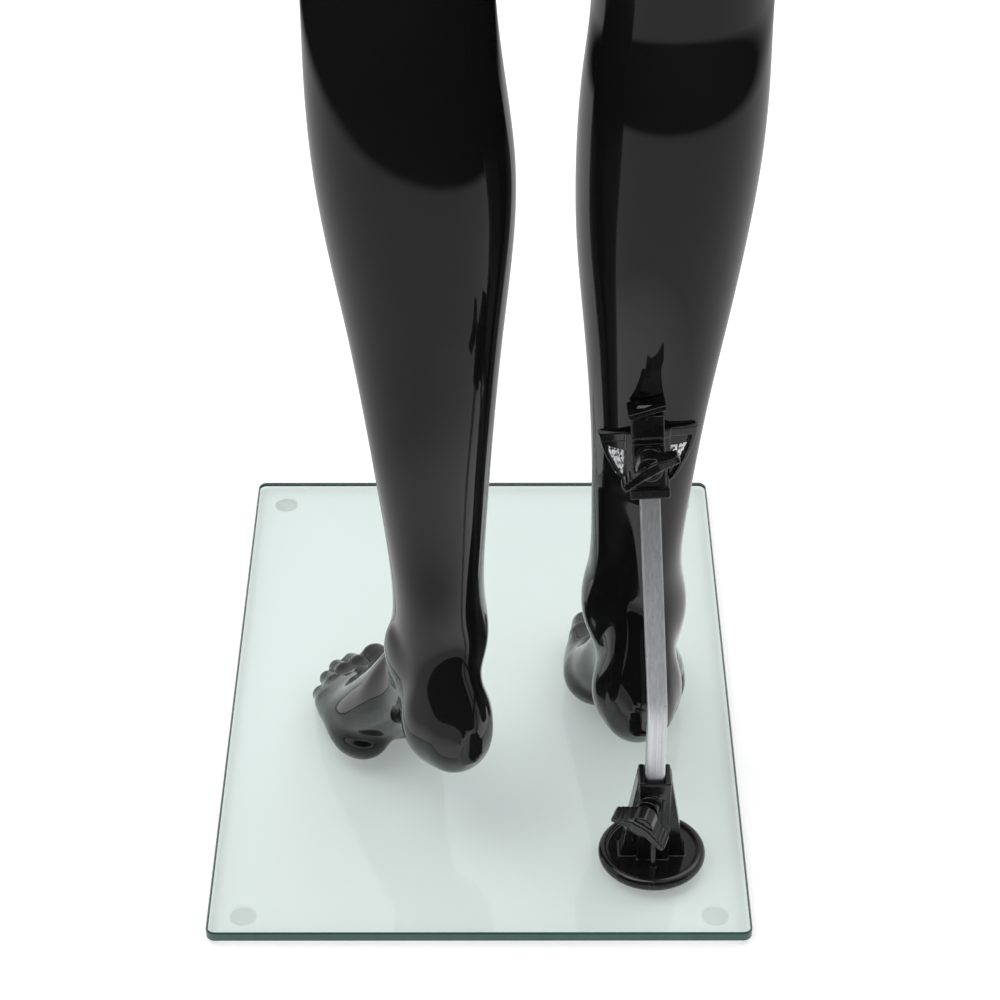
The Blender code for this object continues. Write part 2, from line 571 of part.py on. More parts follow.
def saddle_solid():
    """The curved fan-shaped plate that lies on the calf. The calf is cut from it later."""
    builder = bmesh.new()
    columns = 12
    levels = [(0.2575, 0.84), (0.2555, 0.87), (0.2480, 0.85), (0.2400, 0.70), (0.2320, 0.47),
              (0.2250, 0.27), (0.2230, 0.20)]
    sheets = []
    for offset in (-0.0020, SADDLE_THICK):
        sheet = []
        for z, spread in levels:
            angles = [spread * (2 * i / columns - 1) for i in range(columns + 1)]
            sheet.append([builder.verts.new(calf_point(z - SADDLE_DIP * angle ** 2 / 0.72, angle, offset))
                          for angle in angles])
        sheets.append(sheet)
    inner, outer = sheets
    for a in range(len(levels) - 1):
        for i in range(columns):
            builder.faces.new((inner[a][i], inner[a][i + 1], inner[a + 1][i + 1], inner[a + 1][i]))
            builder.faces.new((outer[a][i], outer[a + 1][i], outer[a + 1][i + 1], outer[a][i + 1]))
        for i in (0, columns):
            builder.faces.new((inner[a][i], outer[a][i], outer[a + 1][i], inner[a + 1][i]))
    for a in (0, len(levels) - 1):
        for i in range(columns):
            builder.faces.new((inner[a][i], inner[a][i + 1], outer[a][i + 1], outer[a][i]))
    return object_of(builder)


def calf_bracket():
    place = rod_frame()
    saddle = saddle_solid()
    sleeve = box([2 * v for v in CLAMP_HALF], (0, 0, 0.001))
    bevel(sleeve, 0.0016, 2)
    web = box((0.0113, 0.0150, 0.0326), (0, -0.0127, 0.0013))
    boss = cylinder(0.0060, 0.006, (0, CLAMP_HALF[1] + 0.0015, CLAMP_SCREW_UP), (0, 1, 0), segments=18)
    fit = ROD / 2 + ROD_FIT
    channel = box((2 * fit, 2 * fit, 0.08), (0, 0, 0))
    tapped = cylinder(SCREW_R + 0.0002, 0.03, (0, 0.018, CLAMP_SCREW_UP), (0, 1, 0), segments=16)
    screw_way = cylinder(0.0022, 0.03, (0, -0.012, 0.006), (0, 1, 0), segments=14)
    head_seat = cylinder(0.0042, 0.004, (0, -0.0062, 0.006), (0, 1, 0), segments=14)
    for obj in (sleeve, web, boss, channel, tapped, screw_way, head_seat):
        place_on(obj, place)
    for other in (web, boss, saddle):
        combine(sleeve, other, "UNION")
    for other in (channel, tapped, screw_way, head_seat, calf_solid(0.0004)):
        combine(sleeve, other, "DIFFERENCE")
    publish(sleeve, "calf_bracket", PLASTIC)
    back_out = Matrix.Rotation(-math.pi / 2, 4, "X")
    screw = turned([(0, 0.0018), (0.0034, 0.0018), (0.0038, 0.0014), (0.0038, 0.0002), (0.0019, 0),
                    (0.0019, -0.0140), (0, -0.0140)], (0, 0, 0), steps=14)
    place_on(screw, place @ Matrix.Translation((0, -0.0075, 0.006)) @ back_out)
    publish(screw, "calf_screw", STEEL)
    insert = turned([(0.0021, 0), (0.0042, 0), (0.0045, -0.0004), (0.0045, -0.0065), (0.0021, -0.0065),
                     (0.0021, 0)], (0, 0, 0), steps=14)
    place_on(insert, place @ Matrix.Translation((0, -0.0171, 0.006)) @ back_out)
    publish(insert, "calf_insert", STEEL)


def clamp_screw():
    place = rod_frame()
    along, across, back = rod_directions()
    tip = place @ Vector((0, ROD / 2 + ROD_FIT, CLAMP_SCREW_UP))
    wing_screw(tip, back, 0.0090, math.radians(31), "clamp")


# ---------------------------------------------------------------- body shells
def leg(side, shank, axis, name):
    """A hollow leg from the hip seam to the toes."""
    outer = loft(leg_rings(shank, axis, side))
    hip = trunk(HIPS, 0.826, 1.0)
    cut_plane(hip, Vector((side * 0.0005, 0, 0)), Vector((-side, 0, 0)))
    point, normal = leg_seam(side, -SEAM)
    for obj in (outer, hip):
        cut_plane(obj, point, normal)
    combine(outer, hip, "UNION")
    add_toes(outer, side)
    inner = loft(leg_rings(shank, axis, side, WALL, 0.90))
    point, normal = leg_seam(side, -SEAM - WALL)
    cut_plane(inner, point, normal)
    combine(outer, inner, "DIFFERENCE")
    combine(outer, hip_bore(side), "DIFFERENCE")
    if side < 0:
        combine(outer, insert_hole(), "DIFFERENCE")
    publish(outer, name, BODY)


def hip_bore(side):
    """The round opening in a leg seam's faces, through which its fitting passes."""
    _, normal = leg_seam(side)
    return cylinder(HIP_FITTING_R + GAP, 0.014, hip_fitting_centre(side), normal, segments=24)


def insert_hole():
    hole = cylinder(0.0048, 0.024, (0, 0, 0), (0, 1, 0), segments=14)
    return place_on(hole, rod_frame() @ Matrix.Translation((0, -0.022, 0.006)))


def pelvis():
    shell = trunk(HIPS, 0.826, WAIST_Z - SEAM)
    core = trunk(HIPS, 0.826, WAIST_Z - SEAM, WALL)
    for side in (1, -1):
        point, normal = leg_seam(side, SEAM)
        cut_plane(shell, point, -normal)
        point, normal = leg_seam(side, SEAM + WALL)
        cut_plane(core, point, -normal)
    combine(shell, core, "DIFFERENCE")
    combine(shell, cylinder(WAIST_FITTING_R + GAP, 0.02, (0, BODY_Y, WAIST_Z), segments=28), "DIFFERENCE")
    for side in (1, -1):
        combine(shell, hip_bore(side), "DIFFERENCE")
    publish(shell, "pelvis_shell", BODY)


def torso():
    shell = trunk(CHEST, WAIST_Z + SEAM, NECK_Z - SEAM)
    for side in (1, -1):
        combine(shell, ellipsoid(BREAST_HALF, (side * BREAST[0], BREAST[1], BREAST[2])), "UNION")
    core = trunk(CHEST, WAIST_Z + SEAM, NECK_Z - SEAM, WALL)
    for side in (1, -1):
        cut_plane(core, Vector((side * (SHOULDER_X - SEAM - WALL), 0, 0)), Vector((side, 0, 0)))
    combine(shell, core, "DIFFERENCE")
    for side in (1, -1):
        slab = box((0.1, 0.4, 0.3), (side * (SHOULDER_X - SEAM + 0.05), BODY_Y, 1.37))
        combine(shell, slab, "DIFFERENCE")
        z, y = SHOULDER_ZY
        bore = cylinder(SHOULDER_FITTING_R + GAP, 0.02, (side * SHOULDER_X, y, z), (1, 0, 0), segments=24)
        combine(shell, bore, "DIFFERENCE")
    combine(shell, cylinder(WAIST_FITTING_R + GAP, 0.02, (0, BODY_Y, WAIST_Z), segments=28), "DIFFERENCE")
    combine(shell, cylinder(NECK_FITTING_R + GAP, 0.02, (0, NECK_Y, NECK_Z), segments=24), "DIFFERENCE")
    publish(shell, "torso_shell", BODY)


def head():
    shell = trunk(HEAD, NECK_Z + SEAM, 1.755, 0.0, HEAD_Y, HEAD_SEGMENTS)
    core = trunk(HEAD, NECK_Z + SEAM, 1.755, WALL, HEAD_Y, HEAD_SEGMENTS)
    combine(shell, core, "DIFFERENCE")
    combine(shell, cylinder(NECK_FITTING_R + GAP, 0.02, (0, NECK_Y, NECK_Z), segments=24), "DIFFERENCE")
    publish(shell, "head_shell", BODY)


def arm_solid(side, inset):
    rows = stations(ARM, WRIST_Z + SEAM, ARM[0][0], inset)
    rings = [oval(Vector((side * x, y, z)), ACROSS * side, BACK,
                  [max(v - inset, 0.002) for v in (outwards, inwards, behind, front)], ARM_SEGMENTS)
             for z, x, y, outwards, inwards, front, behind in rows]
    return loft(rings)


def arm(side, name):
    shell = arm_solid(side, 0.0)
    core = arm_solid(side, WALL)
    cut_plane(shell, Vector((side * (SHOULDER_X + SEAM), 0, 0)), Vector((-side, 0, 0)))
    cut_plane(core, Vector((side * (SHOULDER_X + SEAM + WALL), 0, 0)), Vector((-side, 0, 0)))
    combine(shell, core, "DIFFERENCE")
    z, y = SHOULDER_ZY
    bore = cylinder(SHOULDER_FITTING_R + GAP, 0.02, (side * SHOULDER_X, y, z), (1, 0, 0), segments=24)
    combine(shell, bore, "DIFFERENCE")
    combine(shell, cylinder(WRIST_FITTING_R + GAP, 0.05, wrist(side), segments=18), "DIFFERENCE")
    publish(shell, name, BODY)


def wrist(side):
    return Vector((side * 0.221, 0.050, WRIST_Z))


def hand(side, name):
    rings = []
    for z, x, y, thick, front, behind in PALM:
        centre = Vector((side * x, y, z))
        rings.append(oval(centre, ACROSS * side, BACK, (thick, thick, behind, front), ARM_SEGMENTS))
    rings[0] = [point - Vector((0, 0, SEAM)) for point in rings[0]]
    palm = loft(rings)
    for y, z, out, forwards, down, root, tip in FINGERS:
        knuckle = Vector((side * FINGER_X, y, z))
        combine(palm, digit(knuckle, Vector((side * out, -forwards, -down)), root, tip), "UNION")
    y, z, out, forwards, down, root, tip = THUMB
    knuckle = Vector((side * (FINGER_X - 0.004), y, z))
    combine(palm, digit(knuckle, Vector((side * out, -forwards, -down)), root, tip), "UNION")
    bore = cylinder(WRIST_PIN_R + GAP, 0.030, wrist(side) - Vector((0, 0, 0.007)), segments=16)
    combine(palm, bore, "DIFFERENCE")
    publish(palm, name, BODY)


def digit(root, offset, root_radius, tip_radius):
    """A round-ended tapering finger from its root along offset."""
    direction = offset.normalized()
    side = direction.orthogonal().normalized()
    other = direction.cross(side)
    rings = []
    for share, scale in ((0.0, 1.0), (0.5, 1.0), (0.88, 0.94), (0.97, 0.62), (1.0, 0.18)):
        radius = (root_radius + (tip_radius - root_radius) * share) * scale
        rings.append(oval(root + offset * share, side, other, (radius,) * 4, 10))
    return loft(rings)


# ---------------------------------------------------------------- joint fittings
WAIST_FITTING_R, NECK_FITTING_R, SHOULDER_FITTING_R = 0.046, 0.028, 0.026
HIP_FITTING_R, WRIST_FITTING_R, WRIST_PIN_R = 0.030, 0.0125, 0.0062
NECK_Y = 0.078


def socket_plate(centre, axis, radius, bore, name):
    """A ring let into a seam's opening, flush with the seam, that takes the other side's spigot."""
    depth = 0.008
    ring = turned([(bore, 0), (radius - 0.0006, 0), (radius, -0.0006), (radius, -depth + 0.0006),
                   (radius - 0.0006, -depth), (bore, -depth), (bore, 0)], centre, axis, steps=24)
    publish(ring, name, INNER)


def plug_plate(centre, axis, radius, spigot, reach, name):
    """A disc let into a seam's opening, with a spigot that stands out along axis."""
    depth = 0.008
    disc = turned([(0, reach), (spigot - 0.0008, reach), (spigot, reach - 0.0008), (spigot, 0),
                   (radius - 0.0006, 0), (radius, -0.0006), (radius, -depth + 0.0006),
                   (radius - 0.0006, -depth), (0, -depth)], centre, axis, steps=24)
    publish(disc, name, INNER)


def fittings():
    up = Vector((0, 0, 1))
    waist, neck = Vector((0, BODY_Y, WAIST_Z)), Vector((0, NECK_Y, NECK_Z))
    plug_plate(waist - up * SEAM, up, WAIST_FITTING_R, 0.030, 0.0075, "waist_plug")
    socket_plate(waist + up * SEAM, -up, WAIST_FITTING_R, 0.030 + GAP, "waist_socket")
    plug_plate(neck + up * SEAM, -up, NECK_FITTING_R, 0.014, 0.0075, "neck_plug")
    socket_plate(neck - up * SEAM, up, NECK_FITTING_R, 0.014 + GAP, "neck_socket")
    for side, word in ((1, "left"), (-1, "right")):
        outwards = Vector((side, 0, 0))
        z, y = SHOULDER_ZY
        shoulder = Vector((side * SHOULDER_X, y, z))
        plug_plate(shoulder + outwards * SEAM, -outwards, SHOULDER_FITTING_R, 0.013, 0.0075,
                   f"shoulder_plug_{word}")
        socket_plate(shoulder - outwards * SEAM, outwards, SHOULDER_FITTING_R, 0.013 + GAP,
                     f"shoulder_socket_{word}")
        sleeve = turned([(WRIST_PIN_R + GAP, 0), (WRIST_FITTING_R, 0), (WRIST_FITTING_R, -0.014),
                         (WRIST_PIN_R + GAP, -0.014), (WRIST_PIN_R + GAP, 0)],
                        wrist(side) + up * (SEAM + 0.014), up, steps=18)
        publish(sleeve, f"wrist_socket_{word}", INNER)
        pin = turned([(0, 0.013), (WRIST_PIN_R - 0.0008, 0.013), (WRIST_PIN_R, 0.0122),
                      (WRIST_PIN_R, -0.021), (0, -0.021)], wrist(side), up, steps=16)
        publish(pin, f"wrist_pin_{word}", STEEL)
        hip_fitting(side, word)


def hip_fitting(side, word):
    """The plates on each side of a leg seam. The leg's carries an upright peg that the hips lift off."""
    _, normal = leg_seam(side)
    centre = hip_fitting_centre(side)
    radius, depth = HIP_FITTING_R, 0.0065
    plate = turned([(0, 0), (radius - 0.0006, 0), (radius, -0.0006), (radius, -depth), (0, -depth)],
                   centre - normal * SEAM, normal, steps=24)
    peg = box((0.016, 0.016, 0.034), centre + Vector((0, 0, 0.011)))
    bevel(peg, 0.001, 1)
    combine(plate, peg, "UNION")
    publish(plate, f"leg_peg_plate_{word}", STEEL)
    seat = turned([(0, depth), (radius, depth), (radius, 0.0006), (radius - 0.0006, 0), (0, 0)],
                  centre + normal * SEAM, normal, steps=24)
    hole = box((0.0168, 0.0168, 0.06), centre + Vector((0, 0, 0.02)))
    combine(seat, hole, "DIFFERENCE")
    publish(seat, f"hip_seat_plate_{word}", STEEL)


# ---------------------------------------------------------------- assembly
glass_base()
bumpers()
rod_socket()
socket_fasteners()
socket_screw_axis = Vector((math.sin(SOCKET_KNOB_TURN), math.cos(SOCKET_KNOB_TURN), 0))
wing_screw(Vector((*SOCKET_XY, SOCKET_KNOB_Z)) + socket_screw_axis * 0.0063, socket_screw_axis, 0.0092,
           math.radians(-26), "socket")
support_rod()
calf_bracket()
clamp_screw()
leg(1, SHANK_LEFT, AXIS_LEFT, "left_leg_shell")
leg(-1, SHANK_RIGHT, AXIS_RIGHT, "right_leg_shell")
pelvis()
torso()
head()
for arm_side, arm_word in ((1, "left"), (-1, "right")):
    arm(arm_side, f"{arm_word}_arm_shell")
    hand(arm_side, f"{arm_word}_hand")
fittings()
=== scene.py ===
"""Looks of the full body mannequin: gloss black shells, glass base, rod and calf bracket."""
import math
from itertools import product

import bmesh
import bpy
import numpy as np
from mathutils import Matrix, Vector


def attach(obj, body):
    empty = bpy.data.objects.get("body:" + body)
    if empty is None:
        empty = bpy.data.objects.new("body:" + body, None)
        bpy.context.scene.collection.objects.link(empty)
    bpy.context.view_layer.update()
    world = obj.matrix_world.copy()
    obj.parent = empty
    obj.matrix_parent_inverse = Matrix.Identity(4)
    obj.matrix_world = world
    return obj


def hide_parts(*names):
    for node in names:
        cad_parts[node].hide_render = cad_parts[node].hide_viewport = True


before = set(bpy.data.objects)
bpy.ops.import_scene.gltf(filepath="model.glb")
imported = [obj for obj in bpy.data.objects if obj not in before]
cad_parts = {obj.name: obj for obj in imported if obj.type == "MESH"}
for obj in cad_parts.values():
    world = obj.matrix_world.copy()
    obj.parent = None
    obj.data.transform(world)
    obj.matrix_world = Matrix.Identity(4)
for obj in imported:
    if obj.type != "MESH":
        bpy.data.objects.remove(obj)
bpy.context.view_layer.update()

# ---------------------------------------------------------------- dimensions shared with the part
GLASS_BOTTOM, GLASS_TOP = 0.0023, 0.0083
PLATE_X, PLATE_HALF, PLATE_CORNER, PLATE_BEVEL = 0.028, (0.14, 0.2), 0.005, 0.0008
BOLT_HOLE = 0.0045
SEAM = 0.0003
SOCKET_XY = (-0.0625, 0.143)
SOCKET_KNOB_Z = GLASS_TOP + 0.0432
SOCKET_KNOB_TURN = math.radians(18)
SOCKET_WING_LIFT, CLAMP_WING_LIFT = math.radians(-26), math.radians(31)
ROD = 0.01
ROD_BOTTOM = GLASS_TOP + 0.012
ROD_BEND_Z = 0.108
ROD_LEAN, ROD_SIDE_LEAN = math.radians(12), math.radians(3.2)
ROD_UPPER, ROD_CORNER, BEND_REACH = 0.163, 0.0011, 0.0085
CLAMP_ALONG = 0.142
SADDLE_X = -0.0553
BODY_Y, HEAD_Y = 0.075, 0.07
WAIST_Z, NECK_Z, WRIST_Z = 1.1, 1.478, 0.885
SHOULDER_X, SHOULDER_ZY = 0.15, (1.384, 0.083)
CROTCH, LEG_SEAM_SLOPE = (0.004, 0.824), math.radians(33)
NECK_Y = 0.078
WRIST_XY = (0.221, 0.05)
BORE_SIDES, BORE_DEPTH = 48, 0.012
HIP_BORE, WAIST_BORE, NECK_BORE, SHOULDER_BORE = 0.0303, 0.0463, 0.0283, 0.0263
ARM_WRIST_BORE, HAND_WRIST_BORE = 0.0128, 0.0065


def millimetres(*rows):
    return np.array(rows) / 1000


# The tables are in millimetres. Height, half width, depth in front of and behind BODY_Y.
TRUNK = millimetres(
    (790, 20, 8, 18), (815, 55, 22, 40), (836, 92, 42, 62), (858, 130, 65, 86), (885, 156, 80, 101),
    (915, 164, 86, 104), (955, 156, 87, 98), (1000, 137, 84, 86), (1050, 115, 80, 74),
    (1100, 105, 78, 68), (1150, 108, 79, 71), (1200, 117, 81, 79), (1250, 127, 83, 87),
    (1300, 140, 81, 93), (1335, 155, 75, 94), (1370, 168, 66, 91), (1400, 166, 57, 83),
    (1425, 145, 50, 72), (1445, 108, 46, 62), (1462, 70, 44, 55), (1478, 51, 43, 50),
    (1500, 47, 40, 48))
# Height, half width, depth in front of and behind HEAD_Y.
HEAD = millimetres(
    (1462, 50, 38, 56), (1478, 49, 38, 55), (1505, 47, 40, 51), (1525, 50, 55, 50), (1540, 54, 76, 51),
    (1560, 59, 86, 56), (1590, 66, 90, 72), (1630, 72, 91, 90), (1670, 74, 89, 97), (1705, 70, 81, 92),
    (1730, 57, 65, 75), (1746, 36, 42, 49), (1754, 10, 14, 18))
# Height, outer and inner edge from the midline, depth in front of and behind the axis, axis depth.
SHANK_LEFT = millimetres(
    (88, 64, 34, 18, 20, 92), (115, 72.2, 23.6, 28, 30, 92), (140, 72.5, 24.6, 32, 33, 92),
    (178, 74.7, 24.6, 33, 31, 91.5), (214, 78.9, 22.5, 34, 31.5, 91), (250, 83.4, 20, 36, 34, 91),
    (301, 90.7, 15.6, 39, 39.5, 89.5), (345, 98.2, 11.2, 42, 46, 88), (390, 104.2, 9.9, 44, 50, 87),
    (430, 106.6, 14.2, 45, 49.5, 85), (470, 106.9, 18.8, 47, 45.5, 83))
SHANK_RIGHT = millimetres(
    (88, 69, 37, 18, 20, 65), (115, 80.3, 26.6, 28, 30, 65), (140, 78, 28.5, 32, 33, 65),
    (178, 78.7, 29.8, 33, 30.5, 65.5), (215, 82.7, 29.1, 34, 30.5, 66), (252, 87.4, 27.1, 36, 32.5, 67),
    (300, 94.7, 23, 39, 38, 68.5), (345, 101.2, 19.2, 42, 45, 69), (390, 106, 18.6, 44, 50, 69),
    (430, 107.3, 20.8, 45, 49.5, 69.5), (470, 107, 24, 47, 45.5, 70))
THIGH = millimetres(
    (510, 108, 20.5, 50, 44, 76.5), (560, 112.5, 18.5, 52, 47, 76.2), (620, 122, 14.5, 58, 56, 76),
    (700, 137, 8.8, 68, 68, 75.5), (770, 150, 6, 75, 77, 75.2), (830, 160, 5, 79, 88, 75),
    (870, 163, 14, 77, 93, 75), (905, 159, 38, 64, 86, 75), (925, 148, 56, 50, 70, 75))
# Along the foot from the back of the heel: sole height, instep height, outer and inner half width.
FOOT = millimetres(
    (4, 72, 94, 7, 7), (10, 63, 107, 14.5, 14), (20, 57.5, 121, 19, 18.5), (33, 56, 132, 20.8, 19.8),
    (46, 56, 135, 19.5, 19), (60, 53.5, 128, 18.8, 18), (72, 47, 114, 20.2, 19),
    (83, 36, 100, 25, 21.5), (93, 23.5, 86, 28.5, 25), (103, 13.5, 73, 31.5, 28),
    (114, 9.5, 60, 32.8, 30.2), (126, 8.8, 47, 32.6, 31), (140, 9.2, 36, 30, 30), (152, 11, 28, 24, 26),
    (161, 14.5, 22, 14, 18))
# Toes: each a chain of (along, outwards, height, radius).
TOES = [millimetres(*row) for row in (
    ((128, -19, 22.5, 12.5), (152, -18.5, 20.5, 9.8), (167.3, -17.4, 17.7, 8.6)),
    ((134, -4.8, 23, 8), (161, -5, 20.8, 6.4), (173.2, -5.1, 14.7, 5.6)),
    ((132, 5, 22, 7.5), (160, 4.2, 20, 6.1), (172, 4.1, 14.4, 5.3)),
    ((126, 13.5, 20.5, 7.2), (154, 12.8, 19, 5.8), (166, 12.6, 14.1, 5)),
    ((116, 24, 18.5, 7.5), (142, 22.2, 18, 6), (154.8, 21.3, 14.3, 5.2)))]
# Rounded lumps: centre, half sizes and fillet. Those of the foot are along it, outwards and up.
FOOT_LUMPS = millimetres(
    (33, -0.2, 81, 21.2, 23, 25.8, 8), (115, -13, 23.5, 20, 19.5, 15, 8),
    (109, 18, 21.5, 20, 16, 13.2, 8))
ANKLE_LUMPS = millimetres(
    (58, 15, 112, 11, 6, 14, 12), (62, -18.5, 120, 11, 6, 15, 12))
KNEE_LUMP = millimetres(
    (64.25, 34.5, 512, 26, 12, 34, 30))
BREAST_AND_SEAT = millimetres(
    (66, 14, 1270, 60, 56, 62, 30), (64, 112, 905, 78, 70, 78, 30))
CHEEK = millimetres(
    (31, 7, 1613, 21, 16, 19, 18))
CHIN_AND_LIPS = millimetres(
    (0, -10, 1553.5, 16, 11.5, 12.5, 18), (0, -18, 1592.2, 16.5, 6.2, 4.4, 5.5),
    (0, -18, 1583.8, 14, 6.2, 4.4, 5.5))
EYE = millimetres(
    (30, 1.2, 1637.5, 13.5, 11, 7.8, 4))
THUMB_ROOT = millimetres(
    (218, 24, 846, 11, 16, 26, 12))
TURNOUT_LEFT, TURNOUT_RIGHT = math.radians(26), math.radians(-2)
HEEL_LEFT, HEEL_RIGHT = (0.0304, 0.1459), (0.056, 0.1246)
# The flat beside the right heel tendon: its angle inwards from straight back, its distance from the axis.
TENDON_FLAT = (math.radians(36), 0.0236)
# Arms: height, axis from the midline, axis depth, half width, depth in front and behind.
ARM = millimetres(
    (1431, 166, 83, 10, 14, 16), (1423, 167, 83, 19, 28, 28), (1400, 167.5, 83, 28.5, 43, 42),
    (1360, 170.5, 83, 33, 46.5, 44.5), (1320, 177, 84, 31.5, 43, 41), (1260, 184, 85, 31.5, 38, 37),
    (1190, 191, 87, 30.5, 34.5, 34.5), (1120, 198, 90, 29.5, 32, 32.5),
    (1060, 204, 86, 30.5, 33.5, 32.5), (990, 211, 73, 26.5, 30, 28.5), (930, 217, 60, 20.5, 25.5, 25.5),
    (885, 221, 50, 17.8, 24, 24), (860, 222.5, 46, 17, 25.5, 25))
# Palm: height, axis from the midline, axis depth, half thickness, half width in front and behind.
PALM = millimetres(
    (905, 219, 54.5, 18.6, 24.5, 24.5), (885, 221, 50, 17.8, 24, 24),
    (865, 222.6, 46.5, 16.8, 26.5, 25), (840, 224, 43, 15, 32, 28.5), (815, 225, 40, 12.8, 34.5, 31.5),
    (800, 225.2, 38, 10.5, 33.5, 31.5))
# Fingers and thumb: joints as (outwards, depth, height, radius) from knuckle to tip.
FINGERS = [millimetres(*row) for row in (
    ((225.5, 13, 806, 9.2), (224.5, 10, 775, 7.9), (221.5, 8.5, 753, 7.1), (218.5, 8, 737, 6.1)),
    ((226, 30, 804, 9.4), (225, 28, 769, 8.1), (222, 27, 744, 7.3), (219, 26.8, 727, 6.2)),
    ((225.5, 47, 805, 9), (224.5, 46.5, 772, 7.8), (221.5, 46.8, 749, 7), (218.5, 47, 733, 6)),
    ((224.5, 62.5, 808, 8), (223.5, 63.5, 782, 6.9), (220.5, 64.5, 765, 6.2), (218, 65, 753, 5.3)),
    ((220, 19, 858, 13), (215, 6, 833, 11.2), (211, -4, 808, 9), (209, -9, 789, 7)))]
FINGER_FILLETS = (0.006, 0.006, 0.006, 0.006, 0.01)


# ---------------------------------------------------------------- shape fields
class Curve:
    """A natural cubic spline through rows of (position, values...)."""

    def __init__(self, rows):
        rows = rows[np.argsort(rows[:, 0])]
        self.t, self.v = rows[:, 0], rows[:, 1:]
        h = np.diff(self.t)
        n = len(self.t)
        a, b = np.eye(n), np.zeros_like(self.v)
        for i in range(1, n - 1):
            a[i, i - 1:i + 2] = h[i - 1], 2 * (h[i - 1] + h[i]), h[i]
            b[i] = 6 * ((self.v[i + 1] - self.v[i]) / h[i] - (self.v[i] - self.v[i - 1]) / h[i - 1])
        self.m = np.linalg.solve(a, b)

    def __call__(self, t):
        t = np.clip(t, self.t[0], self.t[-1])
        i = np.clip(np.searchsorted(self.t, t) - 1, 0, len(self.t) - 2)
        h = self.t[i + 1] - self.t[i]
        u, w = (self.t[i + 1] - t) / h, (t - self.t[i]) / h
        cubic = (u ** 3 - u)[:, None] * self.m[i] + (w ** 3 - w)[:, None] * self.m[i + 1]
        cubic = cubic * (h ** 2 / 6)[:, None]
        return (u[:, None] * self.v[i] + w[:, None] * self.v[i + 1] + cubic).T


def between(low, high, position):
    """low at -1, high at +1, turning smoothly from one to the other."""
    s = np.clip(position, -1, 1)
    return (low + high) / 2 + (high - low) / 2 * s * (1.5 - 0.5 * s * s)


def oval(dx, dy, half_x, front, behind, turn):
    """Distance-like field of an oval section, its depth changing over `turn` from front to back."""
    half_y = between(front, behind, dy / turn)
    rho = np.maximum(np.sqrt((dx / half_x) ** 2 + (dy / half_y) ** 2), 0.05)
    slope = np.sqrt((dx / half_x ** 2) ** 2 + (dy / half_y ** 2) ** 2)
    return rho * (rho - 1) / np.maximum(slope, 0.05 / np.maximum(half_x, half_y))


def capped(field, position, low, high):
    """A field closed by rounded ends at low and high."""
    beyond = np.maximum(low - position, position - high)
    return np.where(beyond > 0, np.sqrt(np.maximum(field, 0) ** 2 + beyond ** 2), field)


def ball(x, y, z, centre, half):
    """Distance-like field of an ellipsoid."""
    px, py, pz = (x - centre[0]) / half[0], (y - centre[1]) / half[1], (z - centre[2]) / half[2]
    k0 = np.sqrt(px ** 2 + py ** 2 + pz ** 2)
    k1 = np.sqrt((px / half[0]) ** 2 + (py / half[1]) ** 2 + (pz / half[2]) ** 2)
    return k0 * (k0 - 1) / np.maximum(k1, 1e-6)


def limb(x, y, z, a, b):
    """A round-ended tapering limb from (x, y, z, radius) a to b."""
    ax, ay, az = b[0] - a[0], b[1] - a[1], b[2] - a[2]
    t = np.clip(((x - a[0]) * ax + (y - a[1]) * ay + (z - a[2]) * az) / (ax * ax + ay * ay + az * az), 0, 1)
    away = np.sqrt((x - a[0] - ax * t) ** 2 + (y - a[1] - ay * t) ** 2 + (z - a[2] - az * t) ** 2)
    return away - a[3] - (b[3] - a[3]) * t


def join(a, b, k):
    """The union of two fields with a fillet of about k."""
    h = np.maximum(k - np.abs(a - b), 0) / k
    return np.minimum(a, b) - h ** 3 * k / 6


def lumped(field, x, y, z, lumps):
    for lump in lumps:
        field = join(field, ball(x, y, z, lump[:3], lump[3:6]), lump[6])
    return field


def chained(x, y, z, chain, fillet, start=None):
    """A digit: limbs joined end to end, added to the start if there is one."""
    for a, b in zip(chain, chain[1:]):
        piece = limb(x, y, z, a, b)
        start = piece if start is None else join(start, piece, fillet)
    return start


trunk_curve, head_curve, foot_curve = Curve(TRUNK), Curve(HEAD), Curve(FOOT)
arm_curve, palm_curve = Curve(ARM), Curve(PALM)
leg_curves = {1: Curve(np.vstack([SHANK_LEFT, THIGH])), -1: Curve(np.vstack([SHANK_RIGHT, THIGH]))}
turnouts = {1: TURNOUT_LEFT, -1: TURNOUT_RIGHT}


def trunk_field(p):
    x, y, z = p.T
    half, front, behind = trunk_curve(z)
    dy = y - BODY_Y
    ax = np.abs(x)
    field = capped(oval(x, dy, half, front, behind, 0.06), z, TRUNK[0][0], TRUNK[-1][0])
    field = lumped(field, ax, y, z, BREAST_AND_SEAT)
    spine = 0.0035 * np.exp(-(x / 0.011) ** 2) * np.exp(-((z - 1.17) / 0.13) ** 2) * (y > BODY_Y)
    blades = 0.003 * np.exp(-((ax - 0.075) / 0.03) ** 2) * np.exp(-((z - 1.335) / 0.045) ** 2) * (y > BODY_Y)
    return field + spine - blades


def head_field(p):
    x, y, z = p.T
    half, front, behind = head_curve(z)
    dy = y - HEAD_Y
    ax = np.abs(x)
    field = capped(oval(x, dy, half, front, behind, 0.05), z, HEAD[0][0], HEAD[-1][0])
    nose = limb(x, y, z, (0, -0.0165, 1.652, 0.006), (0, -0.0245, 1.612, 0.0088))
    field = join(field, nose, 0.022)
    field = lumped(lumped(field, ax, y, z, CHEEK), x, y, z, CHIN_AND_LIPS)
    sockets = 0.0042 * np.exp(-((ax - 0.03) / 0.016) ** 2 - ((z - 1.64) / 0.012) ** 2) * (y < HEAD_Y)
    return lumped(field + sockets, ax, y, z, EYE)


